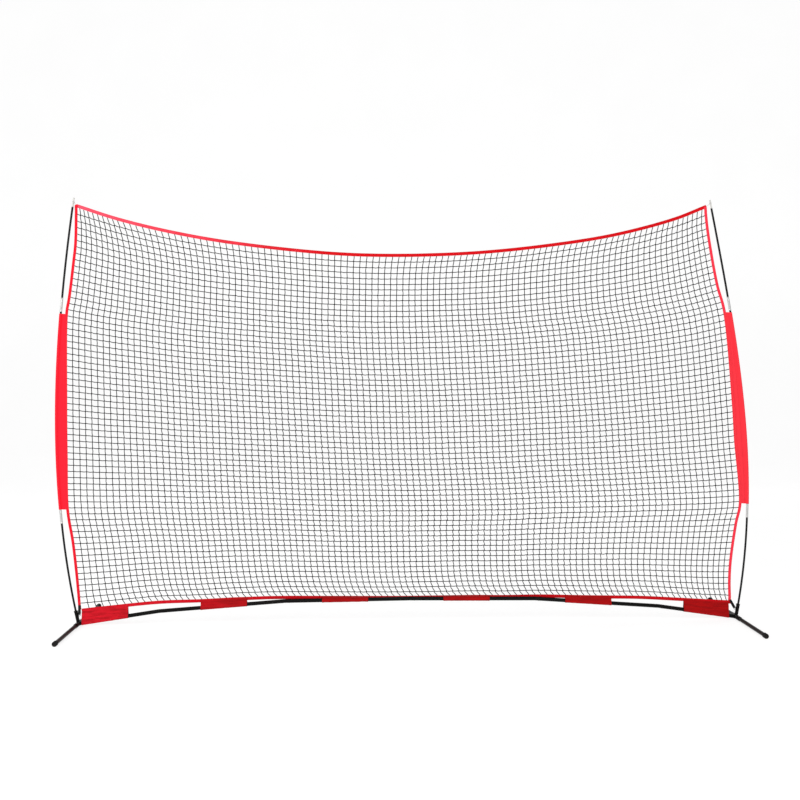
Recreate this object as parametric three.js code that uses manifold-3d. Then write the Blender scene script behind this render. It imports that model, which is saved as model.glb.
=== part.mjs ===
// Barrier net with bowed poles: a base bar of plug-in steel tubes, two hubs with crossing
// legs, two four-piece glass-fibre poles, and a knotted square-mesh net hung between them.
// Millimetres. +X runs along the base bar, +Y to the back, +Z up, z = 0 on the ground. The
// pieces are worked out from the point midway between the hubs, and moved together at the
// end, so that the origin is below the middle of the whole outline.

import * as THREE from 'three';
import { mergeVertices } from 'three/addons/utils/BufferGeometryUtils.js';
import Module from 'manifold-3d';

const wasm = await Module();
wasm.setup();

// ---- driving dimensions ---------------------------------------------------------------

const HALF_SPAN = 2438.5;            // hub centre to the middle of the base bar
const SWAY = 30.7;                   // the hubs' midpoint, right of the whole outline's middle
const BAR_RISE = [17.7, 103, 168, 177]; // height of the bar's axis at its joints, hub to middle
const BAR_JOINT = [HALF_SPAN, 1850, 925, 0]; // distance of those joints from the middle

const TUBE_R = 14;                   // base bar and legs, outside radius
const TUBE_BORE_R = 12.5;
const SWAGE_R = 12.2;                // the reduced end that plugs into the next tube
const SWAGE_BORE_R = 10.7;
const SWAGE_LENGTH = 60;
const SHOULDER = 12;                 // how far the swage reaches back into its own tube
const END_GAP = 1.3;                 // between a tube's end and its neighbour's shoulder

const LEG_AXIS_Z = 17.2;             // so that the foot caps' flats are 10.6 mm wide
const LEG_REACH = 625;               // hub centre to the end of the leg's tube
const LEG_PLUG = 75;                 // length of leg held in the hub's socket
const SOCKET_R = 16.5;
const SOCKET_BORE_R = 14.4;
const SOCKET_REACH = 95;             // hub centre to the socket's mouth
const CAP_R = 18;
const CAP_BORE_R = 14.3;
const CAP_LENGTH = 46;
const CAP_COVER = 34;                // length of leg inside the cap

const POLE_SOCKET_R = 12.8;
const POLE_SOCKET_BORE_R = 8.2;
const POLE_SOCKET_TOP = 92;          // along the pole from the hub's centre
const EYE_AT = 58;                   // strap eye, along the pole from the hub's centre
const EYE_RING_R = 6.5;
const EYE_WIRE_R = 2;
const POLE_FOOT = 24;                // where the pole's end stands in its socket
const POLE_R = 7.5;
const POLE_BORE_R = 4.6;
const FERRULE_R = 8.9;
const FERRULE_BORE_R = 8.3;
const FERRULE_LENGTH = 102;
const FERRULES = [794, 1570, 2345];  // ferrule middles, along the pole from the hub
const TUBE_TOP = 3062;               // top of the uppermost pole tube
const TIP_R = 6.4;
const TIP_NECK_R = 4.2;
const TIP_PLUG = 25;                 // length of tip inside the tube
const CORD_R = 2;                    // elastic cord inside the pole

const BUTTON_R = 4;
const BUTTON_HOLE_R = 4.35;
const BUTTON_FLANGE_R = 5.6;
const BUTTON_PROUD = 2.5;            // how far a button stands above the outer tube
const LEG_BUTTON_AT = 60;            // hub centre to the leg's button
const BAR_BUTTON_AT = 32;            // joint to the base bar's button

const NET_THICKNESS = 1.2;
const HEM_THICKNESS = 1.4;
const HEM_WIDTH = 24;
const SIDE_HEM_WIDTH = 20;
const SEAM_GAP = 1.5;                // between the net panel and the hem tapes
const HEM_STEPS = 24;                // straight steps along each hem
const HEM_BACK = 16.8;               // how far the bottom hem is pushed back by the bar
const HEM_BACK_FULL = 960;           // the hem is fully back inside this distance
const HEM_BACK_NONE = 1300;          // and in the net's plane beyond this one

const SLEEVE_R = 11.8;               // side sleeve's channel around the pole
const SLEEVE_BORE_R = 10.4;
const SIDE_SLEEVE = [846, 2280];     // start and end along the pole
const SIDE_SLEEVE_SEWN = [728, 2160]; // and along the side hem
const FLAP_THICKNESS = 5;
const BASE_SLEEVE_R = 17.6;
const BASE_SLEEVE_BORE_R = 15;
const FLAP_TUCK = 8;                 // how far a base sleeve's flap reaches below the bar's axis
const BASE_SLEEVES = [               // start and end along the base bar
  [-2412, -2074],
  [-1543, -1203],
  [-651, -311],
  [247, 590],
  [1154, 1499],
  [2043, 2381],
];

const LOOP_CORD_R = 1.7;
const LOOP_AT = 38;                  // corner loop's place on the tip, above the pole's tube
const STRAP_WIDTH = 15;
const STRAP_THICKNESS = 2;

const TUBE_SIDES = 14;               // facets of the steel tubes
const ROD_SIDES = 10;                // facets of poles, ferrules and tips
const CAP_SIDES = 18;                // facets of the foot caps
const PIN_SIDES = 10;                // facets of buttons and their holes
const SLEEVE_SIDES = 8;              // facets of the side sleeves' channels
const SLEEVE_STEPS = 10;
const POINTS_ALONG_SLEEVE = 14;
const POLE_STEPS = 6;
const RIGHT_THROUGH = 2000;          // longer than any piece of the bar, for its bore

// ---- curves in the net's plane ----------------------------------------------------------

const at = (x, z, y = 0) => new THREE.Vector3(x, y, z);

// Each pole is one smooth bow: its foot, two handles and its tip.
const POLE_CURVE = {
  left: new THREE.CubicBezierCurve3(at(-2438.5, 22), at(-2665, 1055), at(-2594, 2105), at(-2439, 3135)),
  right: new THREE.CubicBezierCurve3(at(2438.5, 22), at(2641, 1082), at(2437, 2091), at(2234, 3121)),
};

const through = (points) => new THREE.CatmullRomCurve3(points, false, 'centripetal');

const hemBack = (x) => {
  const t = (HEM_BACK_NONE - Math.abs(x)) / (HEM_BACK_NONE - HEM_BACK_FULL);
  return HEM_BACK * THREE.MathUtils.smoothstep(t, 0, 1);
};

const TOP_HEM = through([
  at(-2424, 3077), at(-2129, 2981), at(-1741, 2886), at(-1308, 2809), at(-578, 2729), at(-85, 2713),
  at(527, 2734), at(1120, 2797), at(1546, 2868), at(1974, 2981), at(2208, 3073),
]);
const BOTTOM_HEM = through([
  [-2413, 115], [-2206, 136], [-1848, 168], [-1548, 176], [-1300, 187], [-1203, 189], [-1050, 191],
  [-886, 191], [-560, 187], [-40, 182], [480, 184], [706, 181], [925, 183], [1050, 182], [1154, 180],
  [1300, 177], [1499, 173], [1716, 168], [2040, 149], [2402, 126],
].map(([x, z]) => at(x, z, hemBack(x))));
const LEFT_HEM = through([
  at(-2429, 133), at(-2434, 213), at(-2450, 405), at(-2473, 620), at(-2509, 858), at(-2514, 1250),
  at(-2513, 1660), at(-2501, 2290), at(-2480, 2412), at(-2446, 2671), at(-2431, 2800), at(-2423, 3057),
]);
const RIGHT_HEM = through([
  at(2391, 145), at(2388, 280), at(2396, 432), at(2436, 714), at(2468, 866), at(2431, 1338),
  at(2414, 1607), at(2347, 2291), at(2291, 2494), at(2238, 2773), at(2217, 2910), at(2202, 3046),
]);

// The part of a curve between two distances along it, in millimetres.
class Stretch extends THREE.Curve {
  constructor(curve, from, to) {
    super();
    this.curve = curve;
    this.from = from / curve.getLength();
    this.to = to / curve.getLength();
  }

  getPoint(t, target = new THREE.Vector3()) {
    const u = THREE.MathUtils.clamp(this.from + (this.to - this.from) * t, 0, 1);
    return this.curve.getPointAt(u, target);
  }
}

// ---- materials --------------------------------------------------------------------------

const material = (color, roughness, metalness) => (
  new THREE.MeshStandardMaterial({ color, roughness, metalness })
);
const STEEL = material(0x141312, 0.4, 0.3);
const RUBBER = material(0x0b0b0b, 0.8, 0);
const BUTTON_STEEL = material(0x9a9a98, 0.3, 0.9);
const FIBREGLASS = material(0x161616, 0.35, 0);
const FERRULE = material(0xc9c9c6, 0.3, 0.8);
const TIP_PLASTIC = material(0xd8d8d4, 0.45, 0);
const ELASTIC = material(0xcfcfca, 0.8, 0);
const TWINE = material(0x202020, 0.85, 0);
const HEM_TAPE = material(0xe0122c, 0.75, 0);
const SLEEVE_FABRIC = material(0xf82840, 0.7, 0);
const BASE_FABRIC = material(0xc2101c, 0.75, 0);
const WEBBING = material(0x101010, 0.8, 0);

// ---- building blocks --------------------------------------------------------------------

const net = new THREE.Group();

function add(name, geometry, finish) {
  const mesh = new THREE.Mesh(geometry, finish);
  mesh.name = name;
  net.add(mesh);
  return mesh;
}

// A closed geometry as a manifold solid, for joining and cutting.
function solid(geometry) {
  const bare = geometry.clone();
  bare.deleteAttribute('normal');
  bare.deleteAttribute('uv');
  const merged = mergeVertices(bare, 1e-4);
  return new wasm.Manifold(new wasm.Mesh({
    numProp: 3,
    vertProperties: Float32Array.from(merged.attributes.position.array),
    triVerts: Uint32Array.from(merged.index.array),
  }));
}

function geometryOf(manifold) {
  const mesh = manifold.getMesh();
  const geometry = new THREE.BufferGeometry();
  geometry.setAttribute('position', new THREE.BufferAttribute(mesh.vertProperties, 3));
  geometry.setIndex(new THREE.BufferAttribute(mesh.triVerts, 1));
  return geometry;
}

function disc(radius, sides) {
  const shape = new THREE.Shape();
  for (let i = 0; i < sides; i += 1) {
    const turn = (2 * Math.PI * i) / sides;
    const point = [radius * Math.cos(turn), radius * Math.sin(turn)];
    if (i === 0) shape.moveTo(...point);
    else shape.lineTo(...point);
  }
  shape.closePath();
  return shape;
}

function ring(outer, inner, sides) {
  const shape = disc(outer, sides);
  shape.holes.push(disc(inner, sides));
  return shape;
}

function strip(thickness, width) {
  const shape = new THREE.Shape();
  shape.moveTo(-thickness / 2, -width / 2);
  shape.lineTo(thickness / 2, -width / 2);
  shape.lineTo(thickness / 2, width / 2);
  shape.lineTo(-thickness / 2, width / 2);
  shape.closePath();
  return shape;
}

const sweep = (shape, path, steps) => (
  new THREE.ExtrudeGeometry(shape, { extrudePath: path, steps, bevelEnabled: false })
);

// A straight round bar between two points.
const rod = (radius, a, b, sides = TUBE_SIDES) => (
  solid(sweep(disc(radius, sides), new THREE.LineCurve3(a, b), 1))
);

const along = (a, b, distance) => a.clone().add(b.clone().sub(a).setLength(distance));

// A spring button: a domed pin on a flange, standing on its axis from the tube's inside.
// Its local origin is on the tube's axis and its pin points along local +Z.
function springButton(wallInside, top) {
  const floor = wallInside - 4.2;
  const profile = [
    new THREE.Vector2(0, floor),
    new THREE.Vector2(BUTTON_FLANGE_R, floor),
    new THREE.Vector2(BUTTON_FLANGE_R, floor + 1.6),
    new THREE.Vector2(BUTTON_R, floor + 1.6),
    new THREE.Vector2(BUTTON_R, top - 1.6),
    new THREE.Vector2(BUTTON_R * 0.72, top - 0.5),
    new THREE.Vector2(0, top),
  ];
  const geometry = new THREE.LatheGeometry(profile, PIN_SIDES);
  geometry.rotateX(Math.PI / 2);
  return geometry;
}

// ---- base bar ---------------------------------------------------------------------------

// Joint positions from the left hub to the right hub.
const barJoints = [
  ...BAR_JOINT.map((x, i) => at(-x, BAR_RISE[i])),
  ...BAR_JOINT.slice(0, -1).map((x, i) => at(x, BAR_RISE[i])).reverse(),
];

// The swaged end of one piece, plugged into the next one, with its button hole underneath.
function swageOuter(from, next) {
  return rod(SWAGE_R, along(from, next, -SHOULDER), along(from, next, SWAGE_LENGTH));
}

function swageBore(from, next) {
  return rod(SWAGE_BORE_R, along(from, next, -SHOULDER - 4), along(from, next, SWAGE_LENGTH + 1));
}

function buttonHole(from, next) {
  const centre = along(from, next, BAR_BUTTON_AT);
  return rod(BUTTON_HOLE_R, centre, centre.clone().add(at(0, -30)), PIN_SIDES);
}

// The open end of a piece that takes the swage of the piece before it.
function openTube(from, to) {
  const start = along(from, to, END_GAP);
  const bore = rod(TUBE_BORE_R, along(from, to, -5), along(to, from, SHOULDER - 3));
  return rod(TUBE_R, start, to).subtract(bore);
}

function baseTube(index) {
  const from = barJoints[index];
  const to = barJoints[index + 1];
  const next = barJoints[index + 2];
  return openTube(from, to)
    .subtract(rod(SWAGE_BORE_R, along(to, from, SHOULDER + 2), along(from, to, RIGHT_THROUGH)))
    .add(swageOuter(to, next))
    .subtract(swageBore(to, next))
    .subtract(buttonHole(from, to))
    .subtract(buttonHole(to, next));
}

for (let i = 1; i <= 4; i += 1) {
  add(`base_tube_${i}`, geometryOf(baseTube(i)), STEEL);
}

// ---- hubs -------------------------------------------------------------------------------

// A point on the pole socket's straight axis, at a distance from the hub's centre.
function socketAxis(side, distance) {
  const pole = POLE_CURVE[side];
  return along(pole.getPoint(0), pole.getPointAt(POLE_SOCKET_TOP / pole.getLength()), distance);
}

// The middle of the strap's eye, welded to the net side of the pole socket.
function eyeAt(side) {
  const inwards = side === 'left' ? 1 : -1;
  return socketAxis(side, EYE_AT).add(at(inwards * (POLE_SOCKET_R + EYE_RING_R), 0));
}

// A hub is one weldment: a cross tube that takes the two legs, the first arm of the base
// bar, the leaning pole socket with its collar, and the eye for the corner strap.
function hub(side) {
  const sign = side === 'left' ? -1 : 1;
  const centre = at(sign * HALF_SPAN, LEG_AXIS_Z);
  const armEnd = side === 'left' ? barJoints[1] : barJoints[5];
  const beyond = side === 'left' ? barJoints[2] : barJoints[4];
  const up = (distance) => socketAxis(side, distance);
  const cross = (y) => centre.clone().add(new THREE.Vector3(0, y, 0));

  let body = rod(SOCKET_R, cross(-SOCKET_REACH), cross(SOCKET_REACH))
    .add(rod(TUBE_R, centre, armEnd))
    .add(rod(POLE_SOCKET_R, up(0), up(POLE_SOCKET_TOP)))
    .add(rod(POLE_SOCKET_R + 1.2, up(POLE_SOCKET_TOP - 12), up(POLE_SOCKET_TOP - 1)));
  if (side === 'left') {
    body = body.subtract(rod(TUBE_BORE_R, along(centre, armEnd, 60), along(armEnd, centre, SHOULDER - 3)))
      .subtract(rod(SWAGE_BORE_R, along(armEnd, centre, SHOULDER + 4), along(centre, armEnd, RIGHT_THROUGH)))
      .add(swageOuter(armEnd, beyond))
      .subtract(swageBore(armEnd, beyond))
      .subtract(buttonHole(armEnd, beyond));
  } else {
    const mouth = along(armEnd, centre, END_GAP);
    const pastMouth = rod(TUBE_R + 1, along(armEnd, centre, -20), mouth);
    body = body.subtract(pastMouth)
      .subtract(rod(TUBE_BORE_R, along(armEnd, centre, -5), along(centre, armEnd, 60)))
      .subtract(buttonHole(armEnd, centre));
  }

  const eyeCentre = eyeAt(side);
  const eye = new THREE.TorusGeometry(EYE_RING_R, EYE_WIRE_R, 6, 12);
  eye.rotateX(Math.PI / 2);
  eye.translate(eyeCentre.x, eyeCentre.y, eyeCentre.z);
  body = body.add(solid(eye)).subtract(rod(POLE_SOCKET_BORE_R, up(POLE_FOOT - 0.5), up(200)));

  for (const way of [-1, 1]) {
    body = body.subtract(rod(SOCKET_BORE_R, cross(way * (SOCKET_REACH - LEG_PLUG - 0.5)), cross(way * 120)));
    const hole = cross(way * LEG_BUTTON_AT);
    body = body.subtract(rod(BUTTON_HOLE_R, hole, hole.clone().add(at(0, 30)), PIN_SIDES));
  }
  return body;
}

for (const side of ['left', 'right']) {
  add(`hub_${side}`, geometryOf(hub(side)), STEEL);
}

// ---- legs, foot caps and their buttons --------------------------------------------------

for (const [side, sign] of [['left', -1], ['right', 1]]) {
  for (const [end, way] of [['front', -1], ['rear', 1]]) {
    const x = sign * HALF_SPAN;
    const on = (y) => new THREE.Vector3(x, way * y, LEG_AXIS_Z);
    const inner = SOCKET_REACH - LEG_PLUG;
    const hole = rod(BUTTON_HOLE_R, on(LEG_BUTTON_AT), on(LEG_BUTTON_AT).add(at(0, 30)), PIN_SIDES);
    const leg = rod(TUBE_R, on(inner), on(LEG_REACH))
      .subtract(rod(TUBE_BORE_R, on(inner - 5), on(LEG_REACH + 5)))
      .subtract(hole);
    add(`leg_${end}_${side}`, geometryOf(leg), STEEL);

    const capEnd = LEG_REACH + CAP_LENGTH - CAP_COVER;
    const floor = new THREE.BoxGeometry(80, 80, 20);
    floor.translate(x, way * LEG_REACH, -10);
    const edge = 3;
    const cap = rod(CAP_R, on(LEG_REACH - CAP_COVER), on(capEnd - edge), CAP_SIDES)
      .add(solid(capDome(x, way, capEnd, edge)))
      .subtract(rod(CAP_BORE_R, on(LEG_REACH - CAP_COVER - 5), on(LEG_REACH + 0.4)))
      .subtract(solid(floor));
    add(`foot_cap_${end}_${side}`, geometryOf(cap), RUBBER);

    const button = add(
      `leg_button_${end}_${side}`,
      springButton(TUBE_BORE_R, SOCKET_R + BUTTON_PROUD),
      BUTTON_STEEL,
    );
    button.position.copy(on(LEG_BUTTON_AT));
  }
}

// The rounded end of a foot cap, turned about the leg's axis.
function capDome(x, way, capEnd, edge) {
  const profile = [
    new THREE.Vector2(0, capEnd - edge - 1),
    new THREE.Vector2(CAP_R, capEnd - edge - 1),
    new THREE.Vector2(CAP_R, capEnd - edge),
    new THREE.Vector2(CAP_R - edge * 0.35, capEnd - edge * 0.3),
    new THREE.Vector2(CAP_R - edge, capEnd),
    new THREE.Vector2(0, capEnd),
  ];
  const dome = new THREE.LatheGeometry(profile, CAP_SIDES);
  if (way < 0) dome.rotateX(Math.PI);
  dome.translate(x, 0, LEG_AXIS_Z);
  return dome;
}

// One button at each of the base bar's five joints, on its underside.
for (let i = 1; i <= 5; i += 1) {
  const seat = along(barJoints[i], barJoints[i + 1], BAR_BUTTON_AT);
  const button = add(`bar_button_${i}`, springButton(SWAGE_BORE_R, TUBE_R + BUTTON_PROUD), BUTTON_STEEL);
  button.position.copy(seat);
  button.rotation.x = Math.PI;
}

// ---- poles ------------------------------------------------------------------------------

for (const side of ['left', 'right']) {
  const pole = POLE_CURVE[side];
  const ends = [POLE_FOOT, ...FERRULES, TUBE_TOP];
  for (let i = 0; i < 4; i += 1) {
    const path = new Stretch(pole, ends[i] + (i ? 0.4 : 0), ends[i + 1] - (i < 3 ? 0.4 : 0));
    add(`pole_${side}_${i + 1}`, sweep(ring(POLE_R, POLE_BORE_R, ROD_SIDES), path, POLE_STEPS), FIBREGLASS);
  }
  FERRULES.forEach((middle, i) => {
    const path = new Stretch(pole, middle - FERRULE_LENGTH / 2, middle + FERRULE_LENGTH / 2);
    add(`pole_ferrule_${side}_${i + 1}`, sweep(ring(FERRULE_R, FERRULE_BORE_R, ROD_SIDES), path, 2), FERRULE);
  });

  const tipEnd = pole.getLength();
  const onPole = (distance) => pole.getPointAt(Math.min(distance / tipEnd, 1));
  const tip = rod(TIP_NECK_R, onPole(TUBE_TOP - TIP_PLUG), onPole(TUBE_TOP + 6), ROD_SIDES)
    .add(rod(TIP_R, onPole(TUBE_TOP + 0.4), onPole(tipEnd - 2.5), ROD_SIDES))
    .add(rod(TIP_R * 0.7, onPole(tipEnd - 8), onPole(tipEnd), ROD_SIDES));
  add(`pole_tip_${side}`, geometryOf(tip), TIP_PLASTIC);

  const inside = new Stretch(pole, POLE_FOOT + 4, TUBE_TOP - TIP_PLUG - 2);
  add(`shock_cord_${side}`, sweep(disc(CORD_R, 5), inside, 20), ELASTIC);
}

// ---- net panel and hem tapes ------------------------------------------------------------

// Points beside a curve, offset in the net's plane to the left of its direction.
function beside(curve, distance, count, from = 0, to = 1) {
  return Array.from({ length: count }, (_, i) => {
    const u = from + ((to - from) * i) / (count - 1);
    const point = curve.getPointAt(u);
    const way = curve.getTangentAt(u);
    return new THREE.Vector2(point.x - way.z * distance, point.z + way.x * distance);
  });
}

const acrossHem = HEM_WIDTH / 2 + SEAM_GAP;
const acrossSide = SIDE_HEM_WIDTH / 2 + SEAM_GAP;

function outline(points) {
  const shape = new THREE.Shape();
  points.forEach((p, i) => (i ? shape.lineTo(p.x, p.y) : shape.moveTo(p.x, p.y)));
  shape.closePath();
  return shape;
}

// The panel is cut out of a plain plate by what lies outside each hem's inner edge. Each
// cut follows one hem and closes well outside the net.
function netPanel() {
  const spot = (x, z) => new THREE.Vector2(x, z);
  const [above, below, aside] = [3600, -200, 3000];
  const out = 400;
  const topLeft = TOP_HEM.points[0].x - out;
  const topRight = TOP_HEM.points.at(-1).x + out;
  const lowLeft = BOTTOM_HEM.points[0];
  const lowRight = BOTTOM_HEM.points.at(-1);
  const edges = [
    [...beside(TOP_HEM, -acrossHem, HEM_STEPS + 1), spot(topRight, above), spot(topLeft, above),
      spot(topLeft, above - out)],
    [...beside(BOTTOM_HEM, acrossHem, HEM_STEPS + 1), spot(lowRight.x + out, lowRight.z),
      spot(lowRight.x + out, below), spot(lowLeft.x - out, below), spot(lowLeft.x - out, lowLeft.z)],
    [...beside(LEFT_HEM, -acrossSide, HEM_STEPS + 1), spot(LEFT_HEM.points.at(-1).x, above - out / 2),
      spot(-aside, above - out / 2), spot(-aside, below / 2), spot(LEFT_HEM.points[0].x, below / 2)],
    [...beside(RIGHT_HEM, acrossSide, HEM_STEPS + 1), spot(RIGHT_HEM.points.at(-1).x, above - out / 2),
      spot(aside, above - out / 2), spot(aside, below / 2), spot(RIGHT_HEM.points[0].x, below / 2)],
  ];
  const plate = (points, depth) => {
    const geometry = new THREE.ExtrudeGeometry(outline(points), { depth, bevelEnabled: false });
    geometry.translate(0, 0, -depth / 2);
    geometry.rotateX(Math.PI / 2);
    return solid(geometry);
  };
  const whole = [spot(-2560, 60), spot(2520, 60), spot(2520, 3200), spot(-2560, 3200)];
  return edges.reduce((left, points) => left.subtract(plate(points, 10)), plate(whole, NET_THICKNESS));
}

add('net_panel', geometryOf(netPanel()), TWINE);

add('top_hem', sweep(strip(HEM_THICKNESS, HEM_WIDTH), TOP_HEM, HEM_STEPS), HEM_TAPE);
add('bottom_hem', sweep(strip(HEM_THICKNESS, HEM_WIDTH), BOTTOM_HEM, HEM_STEPS), HEM_TAPE);
add('left_hem', sweep(strip(HEM_THICKNESS, SIDE_HEM_WIDTH), LEFT_HEM, HEM_STEPS), HEM_TAPE);
add('right_hem', sweep(strip(HEM_THICKNESS, SIDE_HEM_WIDTH), RIGHT_HEM, HEM_STEPS), HEM_TAPE);

// ---- sleeves ----------------------------------------------------------------------------

// A flat plate standing in the net's plane, its outline given in X and Z.
function standingPlate(points, thickness, y = 0) {
  const geometry = new THREE.ExtrudeGeometry(outline(points), { depth: thickness, bevelEnabled: false });
  geometry.translate(0, 0, -thickness / 2);
  geometry.rotateX(Math.PI / 2);
  geometry.translate(0, y, 0);
  return solid(geometry);
}

// A side sleeve is a channel around the pole with a flap sewn over the side hem.
function sideSleeve(side, hem) {
  const sign = side === 'left' ? -1 : 1;
  const pole = POLE_CURVE[side];
  const length = pole.getLength();
  const [from, to] = SIDE_SLEEVE;
  const [sewnFrom, sewnTo] = SIDE_SLEEVE_SEWN.map((distance) => distance / hem.getLength());
  const inset = -sign * (SIDE_HEM_WIDTH / 2 - 1);
  const innerEdge = beside(hem, inset, POINTS_ALONG_SLEEVE, sewnFrom, sewnTo);
  const poleEdge = beside(pole, 0, POINTS_ALONG_SLEEVE, from / length, to / length).reverse();
  const channel = new Stretch(pole, from, to);
  const cut = new Stretch(pole, from - 20, to + 20);
  return standingPlate([...innerEdge, ...poleEdge], FLAP_THICKNESS)
    .add(solid(sweep(disc(SLEEVE_R, SLEEVE_SIDES), channel, SLEEVE_STEPS)))
    .subtract(solid(sweep(disc(SLEEVE_BORE_R, SLEEVE_SIDES), cut, SLEEVE_STEPS)))
    .subtract(solid(sweep(strip(HEM_THICKNESS + 0.8, SIDE_HEM_WIDTH + 0.8), hem, HEM_STEPS)));
}

add('side_sleeve_left', geometryOf(sideSleeve('left', LEFT_HEM)), SLEEVE_FABRIC);
add('side_sleeve_right', geometryOf(sideSleeve('right', RIGHT_HEM)), SLEEVE_FABRIC);

// A base sleeve is a loop around the base bar with a flap sewn over the bottom hem.
function baseSleeve(from, to) {
  const joint = barJoints.findIndex((p, i) => p.x <= from && barJoints[i + 1].x >= to);
  const a = barJoints[joint];
  const b = barJoints[joint + 1];
  const bar = (x) => a.clone().lerp(b, (x - a.x) / (b.x - a.x));
  const hemAt = (x) => BOTTOM_HEM.getPointAt(
    (x - BOTTOM_HEM.points[0].x) / (BOTTOM_HEM.points.at(-1).x - BOTTOM_HEM.points[0].x),
  );
  const stations = [0, 0.25, 0.5, 0.75, 1].map((t) => from + (to - from) * t);
  const topEdge = stations.map((x) => new THREE.Vector2(x, hemAt(x).z + HEM_WIDTH / 2 - 2));
  const lowEdge = [to, from].map((x) => new THREE.Vector2(x, bar(x).z - FLAP_TUCK));
  const back = hemAt((from + to) / 2).y;
  return standingPlate([...topEdge.reverse(), ...lowEdge.reverse()], FLAP_THICKNESS, back)
    .add(rod(BASE_SLEEVE_R, bar(from), bar(to)))
    .subtract(rod(BASE_SLEEVE_BORE_R, bar(from - 30), bar(to + 30)))
    .subtract(solid(sweep(strip(HEM_THICKNESS + 0.8, HEM_WIDTH + 0.8), BOTTOM_HEM, HEM_STEPS)));
}

BASE_SLEEVES.forEach(([from, to], i) => {
  add(`base_sleeve_${i + 1}`, geometryOf(baseSleeve(from, to)), BASE_FABRIC);
});

// ---- corner straps and corner loops -----------------------------------------------------

// Webbing from each bottom corner of the net to the eye on the pole socket.
for (const [side, sign] of [['left', -1], ['right', 1]]) {
  const pole = POLE_CURVE[side];
  const corner = side === 'left' ? LEFT_HEM.getPointAt(0) : BOTTOM_HEM.getPointAt(1);
  const start = along(corner, eyeAt(side), side === 'left' ? 3 : STRAP_WIDTH / 2 + 4);
  const end = along(eyeAt(side), corner, EYE_RING_R + EYE_WIRE_R + 1.5);
  add(
    `corner_strap_${side}`,
    sweep(strip(STRAP_THICKNESS, STRAP_WIDTH), new THREE.LineCurve3(start, end), 1),
    WEBBING,
  );

  // The elastic loop that pulls each top corner up to the pole's tip.
  const tipLength = pole.getLength();
  const seat = pole.getPointAt((TUBE_TOP + LOOP_AT) / tipLength);
  const lean = pole.getTangentAt((TUBE_TOP + LOOP_AT) / tipLength);
  const collarR = TIP_R + LOOP_CORD_R + 0.5;
  const collar = new THREE.TorusGeometry(collarR, LOOP_CORD_R, 6, 12);
  collar.rotateY(Math.atan2(lean.x, lean.z));
  collar.translate(seat.x, seat.y, seat.z);
  const topCorner = side === 'left' ? TOP_HEM.getPointAt(0) : TOP_HEM.getPointAt(1);
  const leave = seat.clone().add(at(-sign * lean.z, sign * lean.x).multiplyScalar(collarR));
  const loop = solid(collar).add(rod(LOOP_CORD_R, leave, along(topCorner, leave, HEM_WIDTH / 2 + 2), 6));
  add(`corner_loop_${side}`, geometryOf(loop), ELASTIC);
}

for (const mesh of net.children) {
  mesh.position.x += SWAY;
}

export default net;
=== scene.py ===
"""The looks of a wide ball-stop net: a knotted net with red hems between two bowed poles,
on a plug-in tube base with crossing legs. Metres, in the CAD model's own frame."""

import bmesh
import bpy
import numpy as np
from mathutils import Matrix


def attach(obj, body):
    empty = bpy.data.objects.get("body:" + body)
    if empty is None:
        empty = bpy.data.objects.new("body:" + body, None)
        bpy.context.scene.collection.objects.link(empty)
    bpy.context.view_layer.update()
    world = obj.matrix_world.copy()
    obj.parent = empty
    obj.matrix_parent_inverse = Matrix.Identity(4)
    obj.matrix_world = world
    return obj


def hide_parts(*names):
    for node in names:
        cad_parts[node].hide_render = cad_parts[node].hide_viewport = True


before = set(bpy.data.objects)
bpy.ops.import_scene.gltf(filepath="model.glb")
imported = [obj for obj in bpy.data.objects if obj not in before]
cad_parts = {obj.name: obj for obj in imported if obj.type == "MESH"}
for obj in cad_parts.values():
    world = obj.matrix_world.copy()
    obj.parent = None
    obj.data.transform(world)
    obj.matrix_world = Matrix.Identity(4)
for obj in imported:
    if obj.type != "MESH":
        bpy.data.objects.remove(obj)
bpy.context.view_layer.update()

# ---- camera, floor and light ------------------------------------------------------------
# The net stands on a plain white floor that runs up into a white wall behind it. A large
# soft light stands in front, a smaller one at the upper left, and the room fills the rest.

# The hubs' midpoint stands this far right of the origin, and every shape below is worked
# out from that midpoint; skin() moves it there.
SWAY = np.array([0.0307, 0.0, 0.0])

CAMERA_AT = (-0.2850, -8.1920, 1.8289)
CAMERA_TURN = (np.pi / 2 - 0.0220, 0.0041, -0.03025)

lens = bpy.data.cameras.new("viewpoint")
lens.lens = 50
lens.sensor_width = 36
camera = bpy.data.objects.new("viewpoint", lens)
camera.location = CAMERA_AT
camera.rotation_euler = CAMERA_TURN
bpy.context.scene.collection.objects.link(camera)
bpy.context.scene.camera = camera
bpy.context.scene.view_settings.view_transform = "Standard"


class Wire:
    """A value inside a material. The operators on it add Math nodes."""

    def __init__(self, finish, socket):
        self.finish = finish
        self.socket = socket

    def maths(self, operation, *others):
        values = dict(enumerate([self, *others]))
        return self.finish.node("ShaderNodeMath", {"operation": operation}, values)

    def __add__(self, other):
        return self.maths("ADD", other)

    __radd__ = __add__

    def __sub__(self, other):
        return self.maths("SUBTRACT", other)

    def __rsub__(self, other):
        return (self * -1) + other

    def __mul__(self, other):
        return self.maths("MULTIPLY", other)

    __rmul__ = __mul__

    def __truediv__(self, other):
        return self.maths("DIVIDE", other)

    def sine(self, period):
        """A wave from -1 to 1 that repeats over that period."""
        return (self * (2 * np.pi / period)).maths("SINE")

    def near(self, middle, width):
        """1 within half a width of the middle, falling to 0 at one width from it."""
        return (2 - (self - middle).maths("ABSOLUTE") * (2 / width)).kept()

    def above(self, level, soft):
        """0 below a level, rising to 1 over a soft step."""
        return ((self - level) * (1 / soft)).kept()

    def kept(self):
        """The value kept between 0 and 1."""
        return self.maths("MAXIMUM", 0.0).maths("MINIMUM", 1.0)


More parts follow.
